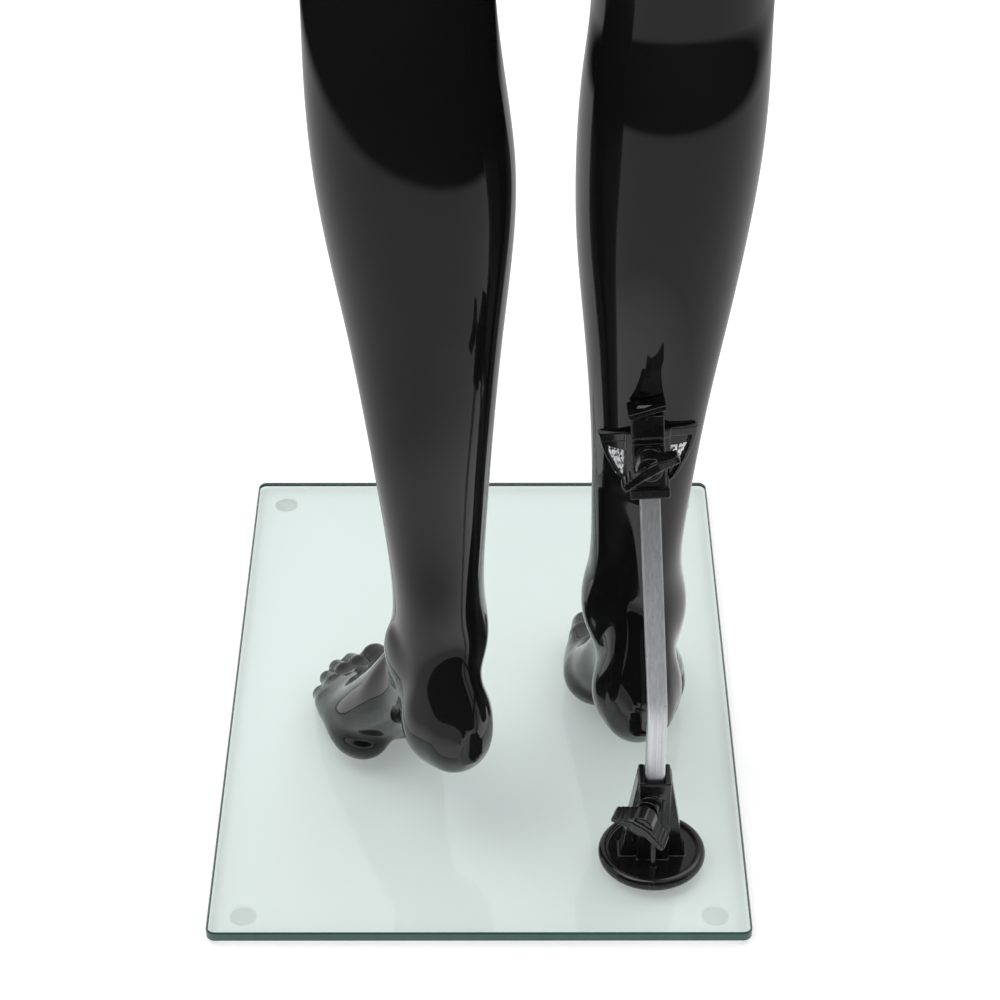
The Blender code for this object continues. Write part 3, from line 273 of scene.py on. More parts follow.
def leg_field(p, side):
    x, y, z = p.T
    x = x * side
    outer, inner, front, behind, axis = leg_curves[side](z)
    dx, dy = x - (outer + inner) / 2, y - axis
    field = oval(dx, dy, (outer - inner) / 2, front, behind, 0.035)
    if side < 0:
        angle, reach = TENDON_FLAT
        fade = 0.03 * np.clip((z - 0.2) / 0.12, 0, 1)
        flat = dy * math.cos(angle) - dx * math.sin(angle) - reach - fade
        field = -join(-field, -flat, 0.006)
    field = capped(field, z, SHANK_LEFT[0][0], THIGH[-1][0])
    heel_x, heel_y = HEEL_LEFT if side > 0 else HEEL_RIGHT
    c, s = math.cos(turnouts[side]), math.sin(turnouts[side])
    along = (x - heel_x) * s - (y - heel_y) * c
    out = (x - heel_x) * c + (y - heel_y) * s
    sole, instep, lateral, medial = foot_curve(along)
    mid, tall = (sole + instep) / 2, (instep - sole) / 2
    rise = (z - mid) / tall
    width = between(medial, lateral, out / 0.012) * (1 - 0.22 * np.clip(rise, -1, 1))
    foot = capped(oval(out, z - mid, width, tall, tall, 1) * 0.7, along, FOOT[0][0], FOOT[-1][0])
    foot = lumped(foot, along, out, z, FOOT_LUMPS)
    toes = None
    for chain in TOES:
        toes = chained(along, out, z, chain, 0.0016, toes)
    field = join(field, join(foot, toes, 0.005), 0.014)
    return lumped(lumped(field, along, out, z, ANKLE_LUMPS), x, y, z, KNEE_LUMP)


def arm_field(p, side):
    x, y, z = p.T
    x = x * side
    cx, cy, half, front, behind = arm_curve(z)
    dy = y - cy
    return capped(oval(x - cx, dy, half, front, behind, 0.02), z, ARM[-1][0], ARM[0][0])


def hand_field(p, side):
    x, y, z = p.T
    x = x * side
    cx, cy, half, front, behind = palm_curve(z)
    dy = y - cy
    field = capped(oval(x - cx, dy, half, front, behind, 0.02), z, PALM[-1][0], PALM[0][0])
    field = lumped(field, x, y, z, THUMB_ROOT)
    for chain, fillet in zip(FINGERS, FINGER_FILLETS):
        field = join(field, chained(x, y, z, chain, 0.003), fillet)
    return field


def lower_field(p):
    """Hips and both thighs."""
    body = trunk_field(p)
    legs = np.where(p[:, 0] > 0, leg_field(p, 1), leg_field(p, -1))
    return join(body, legs, 0.024)


def lower_leg_field(side):
    def field(p):
        leg = leg_field(p, side)
        high = p[:, 2] > 0.74
        if high.any():
            leg[high] = join(trunk_field(p[high]), leg[high], 0.024)
        return leg
    return field


def neck_and_head_field(p):
    return join(trunk_field(p), head_field(p), 0.012)


def upper_field(p):
    """Chest, shoulders and neck."""
    body = neck_and_head_field(p)
    arms = np.where(p[:, 0] > 0, arm_field(p, 1), arm_field(p, -1))
    near = np.clip((p[:, 2] - 1.24) / 0.1, 0.02, 1)
    return np.where(p[:, 2] > 1.24, join(body, arms, 0.034 * near), body)


def arm_part_field(side):
    def field(p):
        arm = arm_field(p, side)
        high = p[:, 2] > 1.24
        near = np.clip((p[high, 2] - 1.24) / 0.1, 0.02, 1)
        arm[high] = join(trunk_field(p[high]), arm[high], 0.034 * near)
        low = p[:, 2] < 0.93
        if low.any():
            arm[low] = join(arm[low], hand_field(p[low], side), 0.004)
        return arm
    return field


def hand_part_field(side):
    def field(p):
        return join(arm_field(p, side), hand_field(p, side), 0.004)
    return field


# ---------------------------------------------------------------- from field to mesh
def in_batches(field, points, size=400000):
    return np.concatenate([field(points[i:i + size]) for i in range(0, len(points), size)])


def cell_corners(grid):
    """The grid's values at the eight corners of each of its cells."""
    a, b, c = (n - 1 for n in grid.shape)
    return [grid[i:a + i, j:b + j, k:c + k] for i, j, k in product((0, 1), repeat=3)]


def sample(field, axes, every=4):
    """The field on a grid. Away from the surface only its sign is right."""
    shape = [len(a) for a in axes]
    coarse_axes = [np.append(a[:-1:every], a[-1]) for a in axes]
    grid = np.stack(np.meshgrid(*coarse_axes, indexing="ij"), -1).reshape(-1, 3)
    coarse = in_batches(field, grid).reshape([len(a) for a in coarse_axes])
    corners = cell_corners(coarse)
    reach = math.sqrt(sum(float(np.diff(a).max() * every) ** 2 for a in axes))
    near = np.min(np.abs(corners), axis=0) < reach
    block = [np.minimum(np.arange(n) // every, m - 2) for n, m in zip(shape, coarse.shape)]
    values = coarse[np.ix_(*block)] * 1.0
    wanted = near[np.ix_(*block)].copy()
    for axis in range(3):
        start = np.zeros(shape[axis], bool)
        start[every::every] = True
        index = [slice(None)] * 3
        index[axis] = np.flatnonzero(start)
        before = [slice(None)] * 3
        before[axis] = np.flatnonzero(start) - 1
        wanted[tuple(index)] |= wanted[tuple(before)]
    i, j, k = np.nonzero(wanted)
    values[i, j, k] = in_batches(field, np.stack([axes[0][i], axes[1][j], axes[2][k]], 1))
    return values


def polygonise(field, axes):
    """Points and quads on the field's zero surface, one point for each grid cell that it crosses."""
    f = sample(field, axes)
    inside = f < 0
    corners = cell_corners(inside)
    active = np.logical_or.reduce(corners) & ~np.logical_and.reduce(corners)
    number = -np.ones(active.shape, int)
    a, b, c = np.nonzero(active)
    number[a, b, c] = np.arange(len(a))
    total, count = np.zeros((len(a), 3)), np.zeros(len(a))
    for axis in range(3):
        others = [n for n in range(3) if n != axis]
        for u, v in product((0, 1), repeat=2):
            near = [a, b, c]
            near[others[0]] = near[others[0]] + u
            near[others[1]] = near[others[1]] + v
            far = list(near)
            far[axis] = far[axis] + 1
            f0, f1 = f[tuple(near)], f[tuple(far)]
            cross = (f0 < 0) != (f1 < 0)
            t = np.where(cross, f0 / np.where(cross, f0 - f1, 1), 0)
            point = np.stack([axes[n][near[n]] for n in range(3)], 1)
            point[:, axis] += t * (axes[axis][far[axis]] - axes[axis][near[axis]])
            total[cross] += point[cross]
            count += cross
    points = total / count[:, None]
    quads = []
    for axis in range(3):
        lower = [slice(None)] * 3
        upper = [slice(None)] * 3
        lower[axis], upper[axis] = slice(0, -1), slice(1, None)
        s0, s1 = inside[tuple(lower)], inside[tuple(upper)]
        u, v = [(1, 2), (2, 0), (0, 1)][axis]
        edge = s0 != s1
        for other in (u, v):
            ends = [slice(None)] * 3
            ends[other] = [0, -1]
            edge[tuple(ends)] = False
        e = np.stack(np.nonzero(edge), 1)
        cells = []
        for du, dv in ((1, 1), (0, 1), (0, 0), (1, 0)):
            q = e.copy()
            q[:, u] -= du
            q[:, v] -= dv
            cells.append(number[q[:, 0], q[:, 1], q[:, 2]])
        face = np.stack(cells, 1)
        outward = s0[e[:, 0], e[:, 1], e[:, 2]]
        face[~outward] = face[~outward][:, ::-1]
        quads.append(face)
    quads = np.concatenate(quads)
    for _ in range(3):
        points = relax(settle(field, points), quads)
    for _ in range(3):
        points = settle(field, points)
    return points, quads


def gradient(field, points, h=0.0004):
    g = np.zeros_like(points)
    for axis in range(3):
        step = np.zeros(3)
        step[axis] = h
        g[:, axis] = (in_batches(field, points + step) - in_batches(field, points - step)) / (2 * h)
    return g


def settle(field, points):
    """One Newton step towards the surface."""
    g = gradient(field, points)
    f = in_batches(field, points)
    move = g * (f / np.maximum((g ** 2).sum(1), 0.05))[:, None]
    length = np.linalg.norm(move, axis=1)
    return points - move * np.minimum(1, 0.003 / np.maximum(length, 1e-9))[:, None]


def relax(points, quads):
    """Evens the net out a little."""
    total, count = np.zeros_like(points), np.zeros(len(points))
    for i in range(4):
        for neighbour in ((i + 1) % 4, i - 1):
            np.add.at(total, quads[:, i], points[quads[:, neighbour]])
            np.add.at(count, quads[:, i], 1)
    return points * 0.5 + 0.5 * total / count[:, None]


def steps(*knots):
    """Grid positions: (position, spacing) pairs, each spacing holding up to the next position."""
    out = [knots[0][0]]
    for (start, spacing), (end, _) in zip(knots, knots[1:]):
        n = max(1, round((end - start) / (spacing * 1.0)))
        out += list(start + (end - start) * (np.arange(n) + 1) / n)
    return np.array(out)


def span(low, high, spacing):
    return steps((low, spacing), (high, spacing))


def closed_pairs(row):
    """Each item with the next one, round to the first."""
    return zip(row, row[1:] + row[:1])


def circle_verts(builder, centre, side, other, radius, count):
    return [builder.verts.new(Vector(centre) + side * (radius * math.cos(a)) + other * (radius * math.sin(a)))
            for a in np.linspace(0, 2 * math.pi, count, endpoint=False)]


def solid(name, field, axes, body, node, finish, cuts=(), place=None):
    """A smooth closed piece of a field. Each cut is (point, normal, bore centre, bore radius)."""
    points, quads = polygonise(field, axes)
    mesh = bpy.data.meshes.new(name)
    mesh.from_pydata(points.tolist(), [], quads.tolist())
    builder = bmesh.new()
    builder.from_mesh(mesh)
    flat = builder.faces.layers.int.new("flat")
    for point, normal, centre, radius in cuts:
        geometry = builder.verts[:] + builder.edges[:] + builder.faces[:]
        found = bmesh.ops.bisect_plane(
            builder, geom=geometry, plane_co=point, plane_no=normal, clear_outer=True)
        rim = [e for e in found["geom_cut"] if isinstance(e, bmesh.types.BMEdge) and e.is_boundary]
        if not rim:
            continue
        old = set(builder.faces)
        if radius:
            side = Vector(normal).orthogonal().normalized()
            other = Vector(normal).cross(side)
            circle = circle_verts(builder, centre, side, other, radius, BORE_SIDES)
            ring = [builder.edges.new(pair) for pair in closed_pairs(circle)]
            bmesh.ops.triangle_fill(builder, edges=rim + ring, use_beauty=True, normal=normal)
            floor = [builder.verts.new(v.co - Vector(normal) * BORE_DEPTH) for v in circle]
            for i in range(BORE_SIDES):
                k = (i + 1) % BORE_SIDES
                builder.faces.new((circle[i], circle[k], floor[k], floor[i]))
            builder.faces.new(floor)
        else:
            bmesh.ops.triangle_fill(builder, edges=rim, use_beauty=True, normal=normal)
        for face in set(builder.faces) - old:
            face[flat] = 1
    bmesh.ops.recalc_face_normals(builder, faces=builder.faces)
    builder.to_mesh(mesh)
    flags = np.array([f[flat] for f in builder.faces])
    builder.free()
    co = np.zeros(len(mesh.vertices) * 3)
    mesh.vertices.foreach_get("co", co)
    g = gradient(field, co.reshape(-1, 3), 0.0006 if place is None else 0.00015)
    g /= np.maximum(np.linalg.norm(g, axis=1), 1e-9)[:, None]
    corner = np.zeros(len(mesh.loops), int)
    mesh.loops.foreach_get("vertex_index", corner)
    sizes = np.zeros(len(mesh.polygons), int)
    mesh.polygons.foreach_get("loop_total", sizes)
    face_normal = np.zeros(len(mesh.polygons) * 3)
    mesh.polygons.foreach_get("normal", face_normal)
    face_normal = np.repeat(face_normal.reshape(-1, 3), sizes, axis=0)
    normals = np.where(np.repeat(flags, sizes)[:, None] == 1, face_normal, g[corner])
    if place is not None:
        mesh.transform(place)
        normals = normals @ np.array(place.to_3x3()).T
    mesh.polygons.foreach_set("use_smooth", np.ones(len(mesh.polygons), bool))
    mesh.normals_split_custom_set(normals.tolist())
    return install(mesh, name, body, node, finish)


def install(mesh, name, body, node, finish):
    """Puts a mesh in the scene on its body, in place of a node of the part."""
    obj = bpy.data.objects.new(name, mesh)
    bpy.context.scene.collection.objects.link(obj)
    if not mesh.materials:
        mesh.materials.append(finish)
    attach(obj, body)
    if node:
        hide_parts(node)
    return obj


# ---------------------------------------------------------------- materials
class Nodes:
    """A short way to wire a Principled material."""

    def __init__(self, name):
        self.material = bpy.data.materials.new(name)
        self.material.use_nodes = True
        self.tree = self.material.node_tree
        self.shader = self.tree.nodes["Principled BSDF"]
        self.place = self.tree.nodes.new("ShaderNodeTexCoord").outputs["Object"]

    def wire(self, socket, value):
        if isinstance(value, bpy.types.NodeSocket):
            self.tree.links.new(value, socket)
        else:
            socket.default_value = value

    def noise(self, scale, detail=2.0, stretch=(1, 1, 1), turn=(0, 0, 0)):
        mapping = self.tree.nodes.new("ShaderNodeMapping")
        self.wire(mapping.inputs["Vector"], self.place)
        mapping.inputs["Scale"].default_value = stretch
        mapping.inputs["Rotation"].default_value = turn
        node = self.tree.nodes.new("ShaderNodeTexNoise")
        self.wire(node.inputs["Vector"], mapping.outputs[0])
        node.inputs["Scale"].default_value = scale
        node.inputs["Detail"].default_value = detail
        return node.outputs[0]

    def ramp(self, value, low, high, a=0.0, b=1.0):
        node = self.tree.nodes.new("ShaderNodeMapRange")
        for i, v in enumerate((value, low, high, a, b)):
            self.wire(node.inputs[i], v)
        return node.outputs[0]

    def mix(self, factor, a, b):
        node = self.tree.nodes.new("ShaderNodeMix")
        node.data_type = "RGBA"
        for i, value in ((0, factor), (6, a), (7, b)):
            self.wire(node.inputs[i], value)
        return node.outputs[2]

    def blend(self, factor, first, second):
        """The surface shows the first shader at factor 0 and the second at 1."""
        node = self.tree.nodes.new("ShaderNodeMixShader")
        for i, value in enumerate((factor, first.outputs[0], second.outputs[0])):
            self.wire(node.inputs[i], value)
        self.wire(self.tree.nodes["Material Output"].inputs["Surface"], node.outputs[0])

    def bump(self, height, strength, distance=0.001):
        node = self.tree.nodes.new("ShaderNodeBump")
        self.wire(node.inputs["Height"], height)
        node.inputs["Strength"].default_value = strength
        node.inputs["Distance"].default_value = distance
        self.wire(self.shader.inputs["Normal"], node.outputs[0])

    def set(self, **values):
        for key, value in values.items():
            self.wire(self.shader.inputs[key.replace("_", " ")], value)
        return self.material


def gloss_black():
    n = Nodes("mannequin_gloss_black")
    cloud = n.mix(n.ramp(n.noise(9, 3), 0.3, 0.7), (0.005, 0.005, 0.0054, 1), (0.008, 0.0078, 0.0082, 1))
    dust = n.ramp(n.noise(1400, 3), 0.66, 0.78, 0.0, 0.5)
    n.bump(n.noise(60, 1.0), 0.03, 0.0005)
    return n.set(Base_Color=n.mix(dust, cloud, (0.018, 0.018, 0.018, 1)), IOR=1.46,
                 Roughness=n.ramp(n.noise(30, 4), 0.25, 0.75, 0.03, 0.07))


def moulded_black():
    n = Nodes("fitting_black")
    cloud = n.mix(n.ramp(n.noise(120, 3), 0.3, 0.7), (0.005, 0.005, 0.0055, 1), (0.0095, 0.0095, 0.01, 1))
    scuffs = n.ramp(n.noise(700, 4, (1, 1, 0.25)), 0.6, 0.75)
    n.bump(n.noise(900, 3), 0.1, 0.0002)
    return n.set(Base_Color=n.mix(scuffs, cloud, (0.022, 0.022, 0.023, 1)), IOR=1.5,
                 Roughness=n.ramp(n.noise(260, 4), 0.3, 0.7, 0.1, 0.2))


def inner_plastic():
    n = Nodes("inner_plastic")
    n.bump(n.noise(1200, 4), 0.25, 0.0002)
    return n.set(Base_Color=n.mix(n.noise(180, 4), (0.03, 0.03, 0.032, 1), (0.062, 0.062, 0.064, 1)),
                 Roughness=n.ramp(n.noise(400, 4), 0.3, 0.7, 0.4, 0.6))


def brushed_aluminium():
    n = Nodes("rod_aluminium")
    along = n.noise(900, 3, (1, 1, 0.012))
    broad = n.noise(160, 3, (1, 1, 0.05))
    marks = n.ramp(n.noise(420, 5), 0.66, 0.74)
    colour = n.mix(n.ramp(along, 0.25, 0.75), (0.5, 0.515, 0.535, 1), (0.68, 0.695, 0.71, 1))
    n.bump(along, 0.18, 0.0002)
    return n.set(Base_Color=n.mix(marks, colour, (0.4, 0.41, 0.43, 1)), Metallic=1.0,
                 Roughness=n.ramp(broad, 0.3, 0.7, 0.3, 0.46), Anisotropic=0.5)


def screw_steel():
    n = Nodes("screw_steel")
    turning = n.noise(1500, 2, (0.06, 0.06, 1))
    n.bump(turning, 0.15, 0.0001)
    return n.set(Base_Color=n.mix(n.noise(300, 4), (0.44, 0.44, 0.45, 1), (0.66, 0.66, 0.66, 1)),
                 Metallic=1.0, Roughness=n.ramp(turning, 0.3, 0.7, 0.2, 0.38))


def clear_rubber():
    """Water-clear rubber: almost nothing but a faint gloss is seen of it through the plate."""
    n = Nodes("bumper_clear")
    n.bump(n.noise(1500, 3), 0.1, 0.0001)
    clear = n.tree.nodes.new("ShaderNodeBsdfTransparent")
    n.wire(clear.inputs["Color"], n.mix(n.noise(500, 3), (0.985, 0.992, 0.99, 1), (0.995, 0.998, 0.997, 1)))
    n.blend(n.ramp(n.noise(600, 3), 0.3, 0.7, 0.005, 0.02), clear, n.shader)
    return n.set(Base_Color=(0.8, 0.84, 0.82, 1), Roughness=0.2, IOR=1.45)


def plate_glass():
    """Clear glass, tinted a little at each face. Soft light passes straight through to the floor."""
    n = Nodes("base_glass")
    nodes = n.tree.nodes
    nodes.remove(n.shader)
    glass = nodes.new("ShaderNodeBsdfGlass")
    clear = nodes.new("ShaderNodeBsdfTransparent")
    path = nodes.new("ShaderNodeLightPath")
    either = nodes.new("ShaderNodeMath")
    either.operation = "MAXIMUM"
    tint = n.mix(n.noise(14, 2), (*GLASS_TINT, 1), (*[c * 0.992 for c in GLASS_TINT], 1))
    n.wire(glass.inputs["Color"], tint)
    n.wire(clear.inputs["Color"], tint)
    glass.inputs["IOR"].default_value = 1.52
    n.wire(glass.inputs["Roughness"], n.ramp(n.noise(40, 3), 0.3, 0.7, 0.0, 0.012))
    n.wire(either.inputs[0], path.outputs["Is Shadow Ray"])
    n.wire(either.inputs[1], path.outputs["Is Diffuse Ray"])
    n.blend(either.outputs[0], glass, clear)
    return n.material


def plate_edge():
    n = Nodes("base_glass_edge")
    streak = n.noise(90, 3, (1, 1, 0.2))
    return n.set(Base_Color=n.mix(streak, (0.022, 0.065, 0.055, 1), (0.04, 0.1, 0.085, 1)),
                 Roughness=n.ramp(streak, 0.3, 0.7, 0.05, 0.16), IOR=1.52)


def film_painted_light():
    """Crumpled film: its bright patches are a painted reflection of white, its dark folds painted shade."""
    n = Nodes("window_film")
    n.bump(n.noise(520, 4), 0.8, 0.001)
    painted_reflection_mask = n.ramp(n.noise(700, 3, (1, 1, 0.6)), 0.44, 0.52)
    return n.set(Base_Color=n.mix(painted_reflection_mask, (0.03, 0.03, 0.03, 1), (0.92, 0.93, 0.94, 1)), Roughness=0.16)


GLASS_TINT = (0.895, 0.927, 0.918)
BLACK, MOULDED, INNER = gloss_black(), moulded_black(), inner_plastic()
ALUMINIUM, STEEL, RUBBER = brushed_aluminium(), screw_steel(), clear_rubber()
GLASS, GLASS_EDGE, FILM_PAINTED_LIGHT = plate_glass(), plate_edge(), film_painted_light()
FINISHES = {"body_gloss_black": BLACK, "fitting_black": MOULDED, "inner_plastic": INNER,
            "rod_aluminium": ALUMINIUM, "screw_steel": STEEL, "base_glass": GLASS, "bumper_clear": RUBBER}
for cad_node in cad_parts.values():
    for holder in cad_node.material_slots:
        holder.material = FINISHES.get(holder.material.name.split(".")[0], MOULDED)


# ---------------------------------------------------------------- base, rod and bracket
def block(x, y, z, half, r):
    """A box with rounded edges."""
    q = [np.abs(v) - h + r for v, h in zip((x, y, z), half)]
    away = np.sqrt(sum(np.maximum(v, 0) ** 2 for v in q))
    return away + np.minimum(np.maximum(np.maximum(q[0], q[1]), q[2]), 0) - r


def drum(radial, axial, radius, half, r):
    """A cylinder with rounded edges, from the distance to its axis and along it."""
    a, b = radial - radius + r, np.abs(axial) - half + r
    return np.sqrt(np.maximum(a, 0) ** 2 + np.maximum(b, 0) ** 2) + np.minimum(np.maximum(a, b), 0) - r


def carve(a, b, k):
    """Field a without field b, its new edge rounded by about k."""
    return -join(-a, b, k)


def without(a, *cutters):
    """Field a with sharp-edged holes."""
    for cutter in cutters:
        a = np.maximum(a, -cutter)
    return a


def socket_field(p):
    """The round foot, the tower with its gussets and braces, and the boss of the thumbscrew."""
    x, y, z = p.T
    r = np.hypot(x, y)
    foot = drum(r, z - 0.0036, 0.0281, 0.0036, 0.0034)
    foot = carve(foot, drum(r, z - 0.008, 0.0236, 0.0024, 0.0008), 0.0012)
    wall = block(x, y, z - 0.0288, (0.0084, 0.0082, 0.0288), 0.0012)
    slot = block(x, y - 0.02, z - 0.0596, (0.0052, 0.04, 0.003), 0.001)
    tower = carve(wall, slot, 0.0012)
    ax = np.abs(x)
    lean = (ax - (0.0088 + (0.0562 - z) * 0.158)) * 0.986
    gusset = np.maximum(np.maximum(lean, np.abs(y) - 0.0054), np.maximum(z - 0.0562, 0.001 - z))
    brace_y = (np.abs(y) - (0.0088 + (0.0225 - z) * 0.34)) * 0.946
    brace = np.maximum(np.maximum(brace_y, ax - 0.0013), np.maximum(z - 0.0225, 0.001 - z))
    body = join(join(join(tower, gusset, 0.001), brace, 0.0012), foot, 0.0022)
    c, s = math.cos(SOCKET_KNOB_TURN), math.sin(SOCKET_KNOB_TURN)
    axial, across = x * s + y * c, x * c - y * s
    radial = np.hypot(across, z - (SOCKET_KNOB_Z - GLASS_TOP - SEAM))
    body = join(body, drum(radial, axial - 0.008, 0.0058, 0.0052, 0.0006), 0.0022)
    for k in (-1, 0, 1):
        flute = block(x - k * 0.0046, y - 0.0084, z - 0.0375, (0.0006, 0.0008, 0.009), 0.0005)
        body = join(body, flute, 0.0008)
    rod_hole = block(x, y, z - 0.042, (0.0052, 0.0052, 0.0306), 0.0003)
    screw_hole = drum(radial, axial - 0.018, 0.003, 0.016, 0.0002)
    nut_hole, bolt_hole = drum(r, z - 0.008, 0.007, 0.0038, 0.0003), drum(r, z, 0.0043, 0.006, 0.0003)
    return without(body, rod_hole, screw_hole, nut_hole, bolt_hole)


def wing_field(reach):
    """A two-winged thumbscrew head. Its wings lie along x, its shank along z."""
    def field(p):
        x, y, z = p.T
        z = z - reach
        ax = np.abs(x)
        hub = drum(np.hypot(x, y), z - 0.0056, 0.0062, 0.0053, 0.0009)
        hub = carve(hub, drum(np.hypot(x, y), z - 0.0112, 0.0036, 0.001, 0.0004), 0.0006)
        top = 0.0132 + 0.0036 * np.clip((ax - 0.005) / 0.01, 0, 1)
        bottom = 0.0012 + 0.0052 * np.clip((ax - 0.0055) / 0.0085, 0, 1) ** 1.4
        thick = 0.0026 - 0.0007 * np.clip(ax / 0.0155, 0, 1)
        middle, tall = (top + bottom) / 2, (top - bottom) / 2
        q = [ax - 0.0155 + 0.0022, np.abs(y) - thick + 0.0009, np.abs(z - middle) - tall + 0.0022]
        flat = np.sqrt(np.maximum(q[0], 0) ** 2 + np.maximum(q[2], 0) ** 2)
        flat = flat + np.minimum(np.maximum(q[0], q[2]), 0) - 0.0022
        rim = np.sqrt(np.maximum(flat + 0.0009, 0) ** 2 + np.maximum(q[1], 0) ** 2) - 0.0009
        wing = rim + np.minimum(np.maximum(flat + 0.0009, q[1]), 0)
        grip = 0.00022 * np.cos(ax * 2 * math.pi / 0.0021) * np.clip((ax - 0.0078) / 0.002, 0, 1)
        body = join(hub, wing - grip * (np.abs(y) > 0.0012), 0.0026)
        return without(body, drum(np.hypot(x, y), z, 0.003, 0.0063, 0.0002))
    return field


def wing_matrix(tip, axis, lift):
    """Places a wing knob with its shank from the tip along the axis and its wings turned by the lift."""
    axis = Vector(axis).normalized()
    level = Vector((0, 0, -1)).cross(axis).normalized()
    wing = level * math.cos(lift) + level.cross(axis) * -math.sin(lift)
    turn = Matrix((wing, axis.cross(wing), axis)).transposed().to_4x4()
    return Matrix.Translation(tip) @ turn


def rod_directions():
    """The upper rod's own axes: along it, across it and out of its back face."""
    along = Vector((math.tan(ROD_SIDE_LEAN), -math.tan(ROD_LEAN), 1)).normalized()
    across = Vector((1, 0, 0))
    across = (across - along * across.dot(along)).normalized()
    return along, across, along.cross(across)


def clamp_matrix():
    along, across, back = rod_directions()
    centre = Vector((*SOCKET_XY, ROD_BEND_Z)) + along * CLAMP_ALONG
    return Matrix.Translation(centre) @ Matrix((across, back, along)).transposed().to_4x4()


def bracket_field(p):
    """The saddle, its windows and the sleeve, in the clamp's own frame (across, back, along)."""
    x, y, z = p.T
    place = np.array(clamp_matrix())
    world = p @ place[:3, :3].T + place[:3, 3]
    skin = leg_field(world, -1)
    u = world[:, 0] - SADDLE_X
    height = world[:, 2]
    au = np.abs(u)
    crest = 0.2524 - 0.0085 * (au / 0.0245) ** 2 - 0.0042 * u / 0.0245
    half = np.interp(height, (0.213, 0.2146, 0.221, 0.2304, 0.2372, 0.244, 0.253),
                     (0.004, 0.0075, 0.0157, 0.0212, 0.0237, 0.025, 0.0254))
    outline = np.maximum((au - half) * 0.8, np.maximum(height - crest, 0.2135 - height))
    band = np.clip((height - (crest - 0.006)) / 0.001, 0, 1)
    rim = np.clip((outline + 0.003) / 0.0008, 0, 1)
    well = np.clip((0.0212 - au) / 0.001, 0, 1) * np.clip((au - 0.0104) / 0.001, 0, 1)
    thick = 0.0016 + 0.0014 * np.maximum(band, rim) + 0.0011 * (1 - well) * (au < 0.0115)
    sheet = np.maximum(skin - thick, 0.0004 - skin)
    saddle = -join(-sheet, -outline, 0.0012)
    sleeve = block(x, y, z - 0.001, (0.0081, 0.0086, 0.0214), 0.0014)
    collar = block(x, y, z + 0.0178, (0.0098, 0.01, 0.003), 0.001)
    web = block(x, y + 0.011, z - 0.001, (0.0056, 0.01, 0.018), 0.0008)
    boss = drum(np.hypot(x, z - 0.001), y - 0.01, 0.0062, 0.003, 0.0008)
    c, s = math.cos(0.24), math.sin(0.24)
    tab = block(x * c - (z - 0.024) * s, y, x * s + (z - 0.024) * c, (0.0094, 0.0092, 0.0015), 0.0007)
    body = join(join(join(sleeve, web, 0.001), collar, 0.0006), boss, 0.0016)
    for k in (0.0105, 0.0078):
        body = join(body, block(x, y - 0.0088, z - k, (0.0076, 0.001, 0.0006), 0.0005), 0.0006)
    body = join(join(body, tab, 0.0005), saddle, 0.0016)
    cap_room = block(x, y, z - 0.002, (0.0053, 0.0053, 0.0226), 0.0003)
    rod_hole = block(x, y, z + 0.04, (0.0052, 0.0052, 0.04), 0.0003)
    screw_hole = drum(np.hypot(x, z - 0.001), y - 0.02, 0.003, 0.016, 0.0002)
    return without(body, cap_room, rod_hole, screw_hole, skin - 0.0004)


# Film in each window: top and bottom height, columns and rows.
WINDOW_FILMS = {"left": (1, 0.2362, 0.2202, 16, 22), "right": (-1, 0.2406, 0.2314, 18, 12)}
FILM_EDGES, FILM_LIFT, FILM_HEM, FILM_THICKNESS = (0.0112, 0.0196), 0.0022, 0.0017, 0.00025


def on_calf(across, height, offset):
    """Points behind the right calf at an offset from its skin."""
    p = np.stack([across.ravel(), np.full(across.size, 0.115), height.ravel()], 1)
    for _ in range(12):
        slope = gradient(lambda q: leg_field(q, -1), p)[:, 1]
        p[:, 1] -= (leg_field(p, -1) - offset) / np.maximum(slope, 0.2)
    return p


def window_film(word):
    """The crinkled film that shows in a window of the saddle: a creased sheet on the calf, whose bright
    colour is a painted reflection and whose dark folds are painted shade.
    """
    side, top, bottom, columns, rows = WINDOW_FILMS[word]
    inner, outer = FILM_EDGES
    us, hs = np.meshgrid(np.linspace(0, 1, columns), np.linspace(0, 1, rows))
    across = SADDLE_X + side * (inner + (outer - inner) * us * (1 - 0.55 * hs ** 1.6))
    height = top + (bottom - top) * hs - 0.0012 * us
    crease = np.sin(us * 23 + hs * 9) * np.sin(hs * 31 - us * 7) + 0.5 * np.sin(us * 41 - hs * 17)
    lift = FILM_LIFT + 0.0003 * crease
    lift[(us < 0.01) | (us > 0.99) | (hs < 0.01) | (hs > 0.99)] = FILM_HEM
    builder = bmesh.new()
    front, back = ([builder.verts.new(q) for q in on_calf(across, height, lift.ravel() - drop)]
                   for drop in (0.0, FILM_THICKNESS))
    for i, j in product(range(rows - 1), range(columns - 1)):
        a, b = i * columns + j, (i + 1) * columns + j
        builder.faces.new([front[k] for k in (a, a + 1, b + 1, b)])
        builder.faces.new([back[k] for k in (b, b + 1, a + 1, a)])
    net = np.arange(rows * columns).reshape(rows, columns)
    rim = [*net[0], *net[1:, -1], *net[-1, -2::-1], *net[-2:0:-1, 0]]
    for a, b in closed_pairs(rim):
        builder.faces.new((front[b], front[a], back[a], back[b]))
    bmesh.ops.recalc_face_normals(builder, faces=builder.faces)
    mesh = bpy.data.meshes.new(f"window_film_{word}")
    builder.to_mesh(mesh)
    builder.free()
    install(mesh, f"window_film_{word}", "right_leg", None, FILM_PAINTED_LIGHT)


def fitting(name, field, axes, body, node, place):
    solid(name, field, axes, body, node, MOULDED, place=place)


